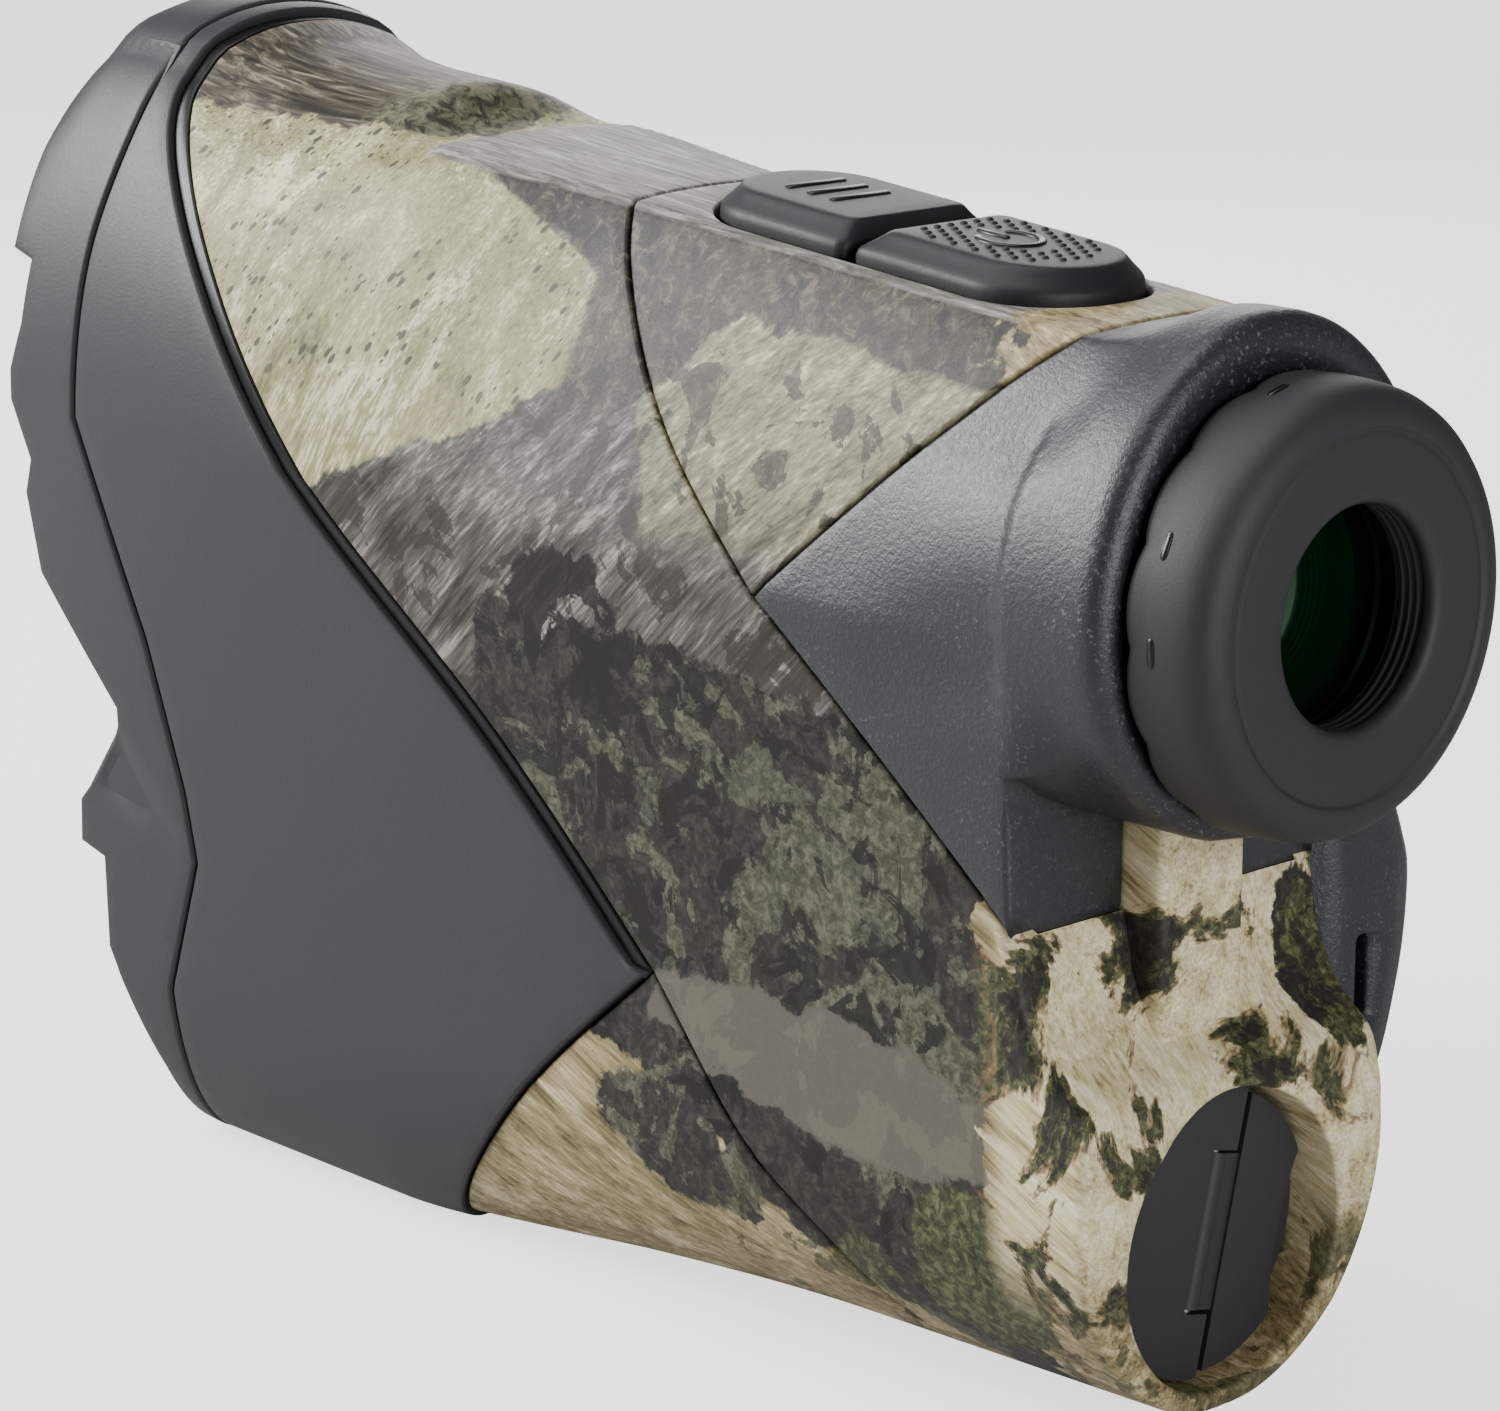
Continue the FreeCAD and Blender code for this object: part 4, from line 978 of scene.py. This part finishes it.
def rear_y(z):
    """Y of the housing's rear face at height z."""
    line = [(y, h) for y, h in REAR_LINE]
    for (y0, z0), (y1, z1) in zip(line, line[1:]):
        if z1 <= z <= z0:
            return y0 + (y1 - y0) * (z0 - z) / (z0 - z1)
    return line[0][0] if z > line[0][1] else line[-1][0]


def ordered(chain, verts):
    """The positions along a chain of edges, from its top end."""
    after = dict(chain)
    starts = set(after) - set(after.values())
    paths = []
    for start in starts:
        path = [start]
        while path[-1] in after:
            path.append(after[path[-1]])
        paths.append(path)
    path = [verts[i] for i in max(paths, key=len)]
    return path if path[0].z > path[-1].z else path[::-1]


def fill(outlines, to_point, spacing):
    """Triangles over closed (u, w) outlines, the first the outside and the others holes."""
    coords, loops = [], []
    for outline in outlines:
        loops.append(list(range(len(coords), len(coords) + len(outline))))
        coords += [Vector(p) for p in outline]
    us, ws = [p[0] for p in outlines[0]], [p[1] for p in outlines[0]]
    row = 0
    w = min(ws) + spacing / 2
    while w < max(ws):
        u = min(us) + spacing * (0.5 + 0.5 * (row % 2))
        while u < max(us):
            p = (u, w)
            if inside(p, outlines[0]) and not any(inside(p, h) for h in outlines[1:]):
                if all(far_from(p, o, 0.5 * spacing) for o in outlines):
                    coords.append(Vector(p))
            u += spacing
        w += 0.87 * spacing
        row += 1
    out = delaunay_2d_cdt(coords, [], loops, 1, 1e-6)
    where = {}
    for i, sources in enumerate(out[3]):
        for source in sources:
            where[source] = i
    given = {}
    for outline, loop in zip(outlines, loops):
        for p, i in zip(outline, loop):
            given[where[i]] = p
    verts = [to_point(q.x, q.y, given.get(i)) for i, q in enumerate(out[0])]
    faces = []
    for f in out[2]:
        middle = sum((out[0][i] for i in f), Vector((0, 0))) / len(f)
        if not any(inside(tuple(middle), h) for h in outlines[1:]):
            faces.append(list(f))
    return verts, faces


def combine(*meshes):
    verts, faces = [], []
    for v, f in meshes:
        n = len(verts)
        verts += v
        faces += [[n + i for i in face] for face in f]
    return verts, faces


housing_ring = joined(on_skin(PANEL_LINE), on_skin(LOWER_LINE), straight((-42.0, WHOLE), (-56.0, WHOLE)),
                      on_skin(REAR_LINE)[::-1], on_skin(SHROUD_LOW)[::-1], on_skin(COVER_LINE)[::-1],
                      straight((-6.0, 0.0), (40.0, 0.0)))
verts, faces, chain = skin(housing_ring, gap=lambda p: 0.0 if at_rear(p) else 0.1, radius=rear_radius,
                           open_at=at_rear)
rear_chain = ordered([e for e in chain if all(abs(verts[i].y - rear_y(verts[i].z)) < 0.3 for i in e)], verts)
housing = mirrored(verts, faces)

RIM = 0.4
RECESS_R = 10.5
RECESS_FLOOR_Y = -51.75
TURN = [2 * math.pi * k / 72 for k in range(72)]          # angles round the battery recess


def round_battery(r, a, y):
    return Vector((r * math.sin(a), y, BATTERY_Z + r * math.cos(a)))


right_side = [Vector((max(p.x, 0.0), p.y, p.z)) for p in rear_chain]
left_side = [Vector((-p.x, p.y, p.z)) for p in rear_chain[::-1] if p.x > 0.01]
loop = right_side + left_side
lookup = {(round(p.x, 4), round(p.z, 4)): p for p in loop}
hole = [((RECESS_R + RIM) * math.sin(a), BATTERY_Z + (RECESS_R + RIM) * math.cos(a)) for a in TURN]


def rear_point(x, z, given):
    if given is not None and (round(given[0], 4), round(given[1], 4)) in lookup:
        return lookup[(round(given[0], 4), round(given[1], 4))]
    return Vector((x, rear_y(z), z))


rear = fill([[(p.x, p.z) for p in loop], hole], rear_point, 1.3)
rim = []
for t in range(5):
    lean = math.pi / 2 * t / 4
    for a in TURN:
        y = rear_y(BATTERY_Z + (RECESS_R + RIM) * math.cos(a)) + RIM * (1 - math.cos(lean))
        rim.append(round_battery(RECESS_R + RIM * (1 - math.sin(lean)), a, y))
rim += [round_battery(RECESS_R, a, RECESS_FLOOR_Y + 0.05) for a in TURN]
recess_floor = [round_battery(r, a, RECESS_FLOOR_Y) for r in (RECESS_R + 0.1, 9.2) for a in TURN]
verts, faces = weld(*combine(housing, rear, (rim, quads(6, len(TURN)))))
fix_winding(make("housing_skin", verts, faces, CAMO, "camo_shell", replaces=("main_housing",)))
fix_winding(make("battery_recess_floor", recess_floor, quads(2, len(TURN)), CAMO, "camo_shell"))


def rounded_block(name, lo, hi, radius, material, slot, steps=4):
    """Box with rounded edges and corners."""
    half = [(hi[k] - lo[k]) / 2 for k in range(3)]
    mid = [(hi[k] + lo[k]) / 2 for k in range(3)]
    grid = []
    for k in range(3):
        inner = half[k] - radius
        arc = [math.sin(math.pi / 2 * (t / steps - 1)) * radius - inner for t in range(steps + 1)]
        flat = [inner * (2 * t / 6 - 1) for t in range(1, 6)]
        grid.append(arc + flat + [-a for a in reversed(arc)])
    verts, faces = [], []
    for axis in range(3):
        u_axis, w_axis = [k for k in range(3) if k != axis]
        for side in (-1, 1):
            start = len(verts)
            for u in grid[u_axis]:
                for w in grid[w_axis]:
                    p = [0.0, 0.0, 0.0]
                    p[axis], p[u_axis], p[w_axis] = side * half[axis], u, w
                    core = [min(max(p[k], -(half[k] - radius)), half[k] - radius) for k in range(3)]
                    d = Vector([p[k] - core[k] for k in range(3)])
                    q = Vector(core) + (d.normalized() * radius if d.length else d)
                    verts.append(Vector([q[k] + mid[k] for k in range(3)]))
            n, m = len(grid[u_axis]), len(grid[w_axis])
            for i in range(n - 1):
                for j in range(m - 1):
                    a = start + i * m + j
                    faces.append([a, a + 1, a + m + 1, a + m])
    return fix_winding(make(name, *weld(verts, faces), material, slot))


rounded_block("housing_rib", (-4.1, -53.4, 25.0), (4.1, -48.6, 41.9), 0.7, CAMO, "camo_shell")

# ---- eyepiece shroud ----
LEAVE_Z = 46.2           # where the dome's edge turns away from the body's side
DOME_BORE_R = 14.35
DOME_EDGE_R = 1.6
rear_edge = straight((SKIRT_Y, 0.0), (SKIRT_Y, find_v(SKIRT_Y, 35.5)), 1.0)
low_seam = on_skin(SHROUD_LOW)
shroud_ring = joined(on_skin(SHROUD_TOP), rear_edge, low_seam[::-1][1:])


def shroud_end(p):
    return p[0] < SKIRT_Y + 0.02


def shroud_radius(p):
    if not shroud_end(p):
        return 0.35
    return 0.5 * smoothstep(LEAVE_Z, LEAVE_Z - 3.5, section(SKIRT_Y, p[1])[1])


verts, faces, chain = skin(shroud_ring, surface=shroud_point, spacing=0.9, open_at=shroud_end,
                           gap=lambda p: 0.0 if shroud_end(p) else 0.1, radius=shroud_radius)
shroud = mirrored(verts, faces)
end_chain = ordered([e for e in chain if verts[e[0]].y < SKIRT_Y + 0.3 and verts[e[1]].y < SKIRT_Y + 0.3], verts)
on_dome = [p for p in end_chain if p.z >= LEAVE_Z]
below = [p for p in end_chain if p.z < LEAVE_Z]
leave = math.atan2(on_dome[-1].x, on_dome[-1].z - EYE_Z)
SLOT_X = 4.4
slot_angle = math.pi - math.asin(SLOT_X / 16.6)
arc = [leave + (slot_angle - leave) * k / 16 for k in range(1, 17)]
corner = on_dome[-1]
round_edge = shoulder_point(SKIRT_Y, leave)
corner_far = math.hypot(corner.x, corner.z - EYE_Z) - math.hypot(round_edge.x, round_edge.z - EYE_Z)
arc_points = []
for a in arc:
    p = shoulder_point(SKIRT_Y, a)
    out = Vector((math.sin(a), 0, math.cos(a)))
    arc_points.append(p + out * corner_far * smoothstep(leave + 0.62, leave - 0.12, a) ** 1.2)
skirt_bottom = below[-1].z
outline = [on_dome[-1]] + below + [Vector((x, SKIRT_Y, skirt_bottom)) for x in (12.0, 8.0, SLOT_X + 0.4)]
outline += [Vector((SLOT_X, SKIRT_Y, skirt_bottom + 0.4)), Vector((SLOT_X, SKIRT_Y, 39.0))] + arc_points[::-1]
spots = {(round(p.x, 4), round(p.z, 4)): p for p in outline}
skirt_face = fill([[(p.x, p.z) for p in outline]],
                  lambda x, z, given: spots.get((round(x, 4), round(z, 4)), Vector((x, SKIRT_Y, z))), 1.3)
skirt_edge = [Vector((x, SKIRT_Y, skirt_bottom)) for x in (below[-1].x, 12.0, 8.0, SLOT_X + 0.4)]
skirt_edge += [Vector((SLOT_X, SKIRT_Y, skirt_bottom + 0.4)), Vector((SLOT_X, SKIRT_Y, 41.0))]
skirt_wall = (skirt_edge + [p + Vector((0, 2.5, 0)) for p in skirt_edge], quads(2, len(skirt_edge), False))
angles = [math.atan2(p.x, p.z - EYE_Z) for p in on_dome] + arc + [math.pi]
first = on_dome + arc_points + [shoulder_point(SKIRT_Y, math.pi)]
rows = [first]
for y in (-50.8, -51.8, -52.8, -53.8, -54.8, -55.6, -56.4, -57.0):
    ease = smoothstep(-50.0, -54.6, y)
    rows.append([shoulder_point(y, a).lerp(Vector((p.x, y, p.z)), 1 - ease) for a, p in zip(angles, first)])
for t in range(1, 6):
    a = math.pi / 2 * t / 5
    base_y = SHOULDER_Y + DOME_EDGE_R
    row = []
    for angle in angles:
        p = shoulder_point(base_y, angle)
        d = Vector((p.x, 0, p.z - EYE_Z))
        r = d.length - DOME_EDGE_R * (1 - math.cos(a))
        row.append(Vector((0, base_y - DOME_EDGE_R * math.sin(a), EYE_Z)) + d.normalized() * r)
    rows.append(row)
for y in (SHOULDER_Y, SHOULDER_Y + 2.8):
    rows.append([Vector((DOME_BORE_R * math.sin(a), y, EYE_Z + DOME_BORE_R * math.cos(a))) for a in angles])
dome = ([p for row in rows for p in row], quads(len(rows), len(angles), False))
half = combine(skirt_face, skirt_wall, dome)
verts, faces = weld(*combine(shroud, mirrored(*half)))
fix_winding(make("shroud_skin", verts, faces, RUBBER, "rubber_armour", replaces=("eyepiece_shroud",)))


# ---- eyecup ----
SCALLOPS = 14
CUP_STEPS = 168
# section of the cup as (radius, y), from its scalloped front edge over the rim to the stepped bore
CUP = [(13.4, -60.6), (14.0, -59.4), (14.6, -59.25), (14.95, -59.45), (15.05, -59.9), (15.0, -60.6), (14.97, -61.4),
       (14.93, -62.4), (14.85, -63.4), (14.72, -64.2), (14.45, -64.9), (14.0, -65.45), (13.4, -65.82),
       (12.8, -65.97), (12.35, -66.0), (12.2, -65.94), (12.1, -65.82), (11.95, -65.78), (11.75, -65.86),
       (11.5, -65.88), (10.0, -65.88), (8.4, -65.88), (7.85, -65.85), (7.5, -65.7), (7.32, -65.4), (7.3, -65.0)]
for step in range(4):
    y = -64.8 + 0.62 * step
    CUP += [(7.35, y), (7.62, y + 0.12), (7.66, y + 0.3), (7.42, y + 0.45)]
CUP += [(7.9, -62.1), (8.6, -61.9)]


def cup_edge(k, a, r, y):
    """Scallops the cup's front edge, over the first points of its profile."""
    if k > 6:
        return r, y
    wave = abs(math.cos(SCALLOPS * a / 2 + 0.3)) ** 0.7
    pull = (0.3, 1.0, 1.0, 0.9, 0.7, 0.4, 0.15)[k]
    return r - 0.22 * (1 - wave) * pull, y + 0.42 * pull * (wave - 1)


verts, faces = [], []
for j in range(CUP_STEPS):
    a = 2 * math.pi * j / CUP_STEPS
    for k, point in enumerate(CUP):
        r, y = cup_edge(k, a, *point)
        verts.append(Vector((r * math.sin(a), y, EYE_Z + r * math.cos(a))))
    here, following = j * len(CUP), (j + 1) % CUP_STEPS * len(CUP)
    faces += [[here + k, here + k + 1, following + k + 1, following + k] for k in range(len(CUP) - 1)]
fix_winding(make("eyecup_rubber", verts, faces, EYECUP, "eyecup_rubber", "diopter", ("eyecup",)))


def plate_on_ring(name, radius, a, y, long, wide, proud, slot, body):
    """Small rounded mark on the eyepiece, long round the Y axis and wide along it."""
    verts = []
    count = 20
    for level, scale in ((0.0, 1.0), (proud, 0.86)):
        for k in range(count):
            b = 2 * math.pi * k / count
            u = math.copysign(abs(math.cos(b)) ** 0.6, math.cos(b)) * long / 2 * scale
            w = math.copysign(abs(math.sin(b)) ** 0.6, math.sin(b)) * wide / 2 * scale
            angle = a + u / radius
            r = radius + level
            verts.append(Vector((r * math.sin(angle), y + w, EYE_Z + r * math.cos(angle))))
    faces = quads(2, count) + [list(range(count, 2 * count))]
    fix_winding(make(name, verts, faces, MARK, slot, body))


TICKS = (math.radians(-66), math.radians(-92), math.radians(-14), math.radians(112))
for index, a in enumerate(TICKS):
    plate_on_ring("eyecup_tick_%d" % (index + 1), 14.98, a, -61.6, 1.9, 0.5, 0.06, "eyecup_rubber", "diopter")
plate_on_ring("shroud_index", 18.45, math.radians(-4), -54.6, 2.0, 0.6, 0.10, "rubber_armour", "housing")

# ---- keys ----
KEY_HALF = 7.0
KEY_ROUND = 6.3
KEY_LEVEL = 78.3
TOP = KEY_LEVEL + 2.05
LEAN = math.atan(FLAT_RISE)


def leant(p):
    """A point built level about FLAT_Y, tipped on to the sloping top."""
    y, z = p[1] - FLAT_Y, p[2] - FLAT_START
    return Vector((p[0], FLAT_Y + y * math.cos(LEAN) - z * math.sin(LEAN),
                   FLAT_START + y * math.sin(LEAN) + z * math.cos(LEAN)))


def key_ring(round_y, flat_y, grow, lead, count=28):
    """Plan outline of a key: half-round at its outer end, straight with soft corners at the trough."""
    sign = 1 if round_y > flat_y else -1
    half = KEY_HALF + grow
    centre = round_y - sign * KEY_ROUND
    edge = flat_y - sign * lead * grow
    ring = []
    for k in range(count + 1):
        a = math.pi * k / count
        ring.append((half * math.cos(a), centre + sign * half * 0.9 * math.sin(a)))
    corner = 0.9
    side = abs(centre - edge) - corner
    for k in range(1, 5):
        ring.append((-half, centre - sign * side * k / 4))
    for k in range(1, 5):
        a = math.pi / 2 * k / 4
        ring.append((-half + corner * (1 - math.cos(a)), centre - sign * (side + corner * math.sin(a))))
    for k in range(1, 10):
        ring.append(((half - corner) * (2 * k / 9 - 1), edge))
    for k in range(1, 5):
        a = math.pi / 2 * k / 4
        ring.append((half - corner * (1 - math.sin(a)), centre - sign * (side + corner * math.cos(a))))
    for k in range(3, 0, -1):
        ring.append((half, centre - sign * side * k / 4))
    return ring if sign > 0 else [(-x, y) for x, y in ring]


KEY_RISE = [(-0.4, 0.0), (0.15, 0.0), (0.5, -0.06), (0.72, -0.2), (0.95, -0.45), (1.25, -0.8), (1.55, -1.1),
            (1.78, -1.32), (1.92, -1.5), (2.0, -1.72), (2.03, -2.1)]


def key(name, round_y, flat_y, lead, body, node):
    rows = []
    for rise, grow in KEY_RISE:
        rows.append([leant((x, y, KEY_LEVEL + rise)) for x, y in key_ring(round_y, flat_y, grow, lead)])
    mid = (round_y + flat_y) / 2
    for shrink in (0.75, 0.4):
        rows.append([leant((x * shrink, mid + (y - mid) * shrink, TOP))
                     for x, y in key_ring(round_y, flat_y, KEY_RISE[-1][1], lead)])
    n = len(rows[0])
    verts = [p for row in rows for p in row] + [leant((0, mid, TOP))]
    last = (len(rows) - 1) * n
    faces = quads(len(rows), n) + [[last + k, last + (k + 1) % n, len(verts) - 1] for k in range(n)]
    fix_winding(make(name, verts, faces, KEYS, "key_rubber", body, (node,)))


key("mode_key_rubber", -10.0, -26.1, 0.45, "mode_button", "mode_key")
key("power_key_rubber", -44.5, -26.9, 1.15, "power_button", "power_key")


def ribbon(name, paths, width, height, body):
    """Raised strokes with a rounded section and round ends, on the keys' top."""
    verts, faces = [], []
    for path in paths:
        pts = [Vector(p) for p in path]
        first = pts[0] + (pts[0] - pts[1]).normalized() * width * 0.3
        last = pts[-1] + (pts[-1] - pts[-2]).normalized() * width * 0.3
        line = [(first, 0.3)] + [(p, 1.0) for p in pts] + [(last, 0.3)]
        start = len(verts)
        for k, (p, scale) in enumerate(line):
            a = line[max(k - 1, 0)][0]
            b = line[min(k + 1, len(line) - 1)][0]
            side = Vector((-(b - a).y, (b - a).x)).normalized()
            for j in range(7):
                c = math.pi * j / 6
                q = p + side * math.cos(c) * width / 2 * scale
                verts.append(leant((q.x, q.y, TOP - 0.05 + (height + 0.05) * math.sin(c) * scale)))
        for k in range(len(line) - 1):
            for j in range(6):
                i = start + k * 7 + j
                faces.append([i, i + 1, i + 8, i + 7])
    fix_winding(make(name, verts, faces, MARK, "key_rubber", body))


ribbon("menu_mark", [[(-2.6, y), (0.0, y), (2.6, y)] for y in (-16.0, -18.2, -20.4)], 0.85, 0.18, "mode_button")
POWER_Y = -34.8
ring_path = [(2.15 * math.sin(math.radians(a)), POWER_Y + 2.15 * math.cos(math.radians(a)))
             for a in range(38, 323, 12)]
ribbon("power_mark", [ring_path, [(0.0, POWER_Y + 0.3), (0.0, POWER_Y + 1.6), (0.0, POWER_Y + 2.9)]], 0.62, 0.18,
       "power_button")


def dimples():
    verts, faces = [], []
    for i in range(-4, 5):
        for j in range(-6, 7):
            x, y = 1.25 * i + (0.62 if j % 2 else 0.0), POWER_Y + 1.0 * j
            away = math.hypot(x, y - POWER_Y)
            if away < 3.1 or abs(x) > 4.6 or y < -40.8 or y > -29.6 or away > 6.4:
                continue
            start = len(verts)
            for r, h in ((0.30, -0.04), (0.22, 0.10), (0.10, 0.16)):
                for k in range(8):
                    a = math.pi * k / 4
                    verts.append(leant((x + r * math.cos(a), y + r * math.sin(a), TOP + h)))
            faces += quads(3, 8, True, start) + [[start + 16 + k for k in range(8)]]
    fix_winding(make("power_key_dots", verts, faces, KEYS, "key_rubber", "power_button"))


dimples()

# ---- palm swell with the lanyard slot ----
GRIP = [(10.0, 14.5), (20.0, 15.0), (22.8, 18.5), (24.6, 23.9), (25.4, 28.2), (25.5, 33.0), (24.9, 35.0),
        (23.4, 38.4), (20.5, 42.0), (17.5, 44.0), (10.0, 45.0)]
grip_line = smooth(GRIP, 5)


SWELL_SUNK_Y = -48.5


def half_width(z):
    return section(SKIRT_Y, find_v(SKIRT_Y, z))[0]


def beside_body(x, y, z):
    """Sinks the rear end of the swell into the body wherever it lies inside the body's own width."""
    return Vector((x, SWELL_SUNK_Y if y < SWELL_SUNK_Y and x < half_width(z) else y, z))


# rows as (y, share of the outline's reach from SWELL_X, share of its height about SWELL_Z)
SWELL_X = 10
SWELL_Z = 31
SWELL_ROWS = ((-50.9, 0.0, 0.4), (-50.9, 0.55, 0.78), (-50.85, 0.82, 0.92), (-50.55, 0.92, 0.965),
              (-50.0, 0.975, 0.99), (-49.2, 1.0, 1.0), (-47.0, 1.01, 1.0), (-43.5, 1.0, 1.0),
              (-40.0, 0.93, 0.98), (-37.0, 0.84, 0.95), (-34.0, 0.72, 0.92), (-30.5, 0.58, 0.87),
              (-27.0, 0.46, 0.83), (-24.0, 0.38, 0.8), (-24.0, 0.0, 0.4))


def scaled(reach, shrink):
    return [(SWELL_X + (x - SWELL_X) * reach, SWELL_Z + (z - SWELL_Z) * shrink) for x, z in grip_line]


rows = []
for y, reach, shrink in SWELL_ROWS:
    rows.append([beside_body(x, y, z) for x, z in scaled(reach, shrink)])
    if len(rows) == 1:
        # where the rear face leaves the body: one row sunk in it, one at its edge
        low = scaled(0.55, 0.6)
        rows.append([Vector((min(half_width(z) - 0.3, x), SWELL_SUNK_Y, z)) for x, z in low])
        rows.append([beside_body(min(half_width(z) + 0.02, x), y, z) for x, z in low])
n = len(grip_line)
verts = [p for row in rows for p in row]
faces = quads(len(rows), n) + [list(range(n)), list(range((len(rows) - 1) * n, len(rows) * n))]
swell = fix_winding(make("palm_swell", *weld(verts, faces), RUBBER, "rubber_armour", replaces=("palm_grip",)))
SLOT_CUTS = (((18.7, -55.0, 23.0), (20.1, -42.0, 29.0)), ((17.6, -45.0, 21.0), (40.0, -38.0, 31.2)))
for index, (lo, hi) in enumerate(SLOT_CUTS):
    cutter = rounded_block("slot_cutter_%d" % index, lo, hi, 0.5, RUBBER, "rubber_armour", 2)
    cutter.hide_render = True
    cut = swell.modifiers.new("slot", "BOOLEAN")
    cut.object = cutter
    cut.operation = "DIFFERENCE"
    cut.solver = "EXACT"


# ---- camera, lights and floor ----
def aim(obj, place, target):
    obj.location = Vector(place) * MM
    obj.rotation_euler = (Vector(target) - Vector(place)).to_track_quat("-Z", "Y").to_euler()


camera = bpy.data.objects.new("camera", bpy.data.cameras.new("camera"))
camera.data.lens = 113.25
camera.data.sensor_width = 36.0
camera.data.sensor_fit = "HORIZONTAL"
camera.data.clip_start = 0.01
bpy.context.scene.collection.objects.link(camera)
aim(camera, (-224.43, -250.84, 125.32), (-17.18, -27.97, 47.40))
bpy.context.scene.camera = camera


def softbox(name, place, target, width, height, power):
    lamp = bpy.data.lights.new(name, "AREA")
    lamp.shape = "RECTANGLE"
    lamp.size = width * MM
    lamp.size_y = height * MM
    lamp.energy = power
    obj = bpy.data.objects.new(name, lamp)
    bpy.context.scene.collection.objects.link(obj)
    aim(obj, place, target)


softbox("key light", (-330, 400, 330), (0, 0, 50), 300, 300, 7.4)
softbox("right light", (380, 360, 260), (0, 0, 60), 300, 260, 1.0)
softbox("rear light", (-60, -500, 150), (0, -40, 50), 300, 260, 1.9)
softbox("top light", (-60, 40, 500), (0, -10, 60), 320, 320, 1.3)

world = bpy.data.worlds.new("studio")
world.use_nodes = True
world.node_tree.nodes["Background"].inputs[0].default_value = (1.0, 1.0, 1.0, 1.0)
world.node_tree.nodes["Background"].inputs[1].default_value = 0.11
bpy.context.scene.world = world

FLOOR_Z = -0.5
SWEEP = [(-900, 0.0), (600, 0.0), (700, 18.0), (780, 70.0), (820, 150.0), (830, 800.0)]
ahead = Vector((0.681, 0.732, 0.0))
across = Vector((0.732, -0.681, 0.0))
floor_verts = [ahead * d + across * side + Vector((0, 0, h + FLOOR_Z)) for side in (-1400, 1400) for d, h in SWEEP]
floor_mesh = bpy.data.meshes.new("floor")
floor_mesh.from_pydata([v * MM for v in floor_verts], [], quads(2, len(SWEEP), False))
for poly in floor_mesh.polygons:
    poly.use_smooth = True
card = Paint("pale floor", (0.5, 0.5, 0.5, 1), 0.8, Emission_Color=(1, 1, 1, 1))
card.set("Emission Strength", card.math("MULTIPLY", card.node("LightPath"), 1.7))
floor_mesh.materials.append(card.mat)
backdrop = bpy.data.objects.new("floor", floor_mesh)
bpy.context.scene.collection.objects.link(backdrop)
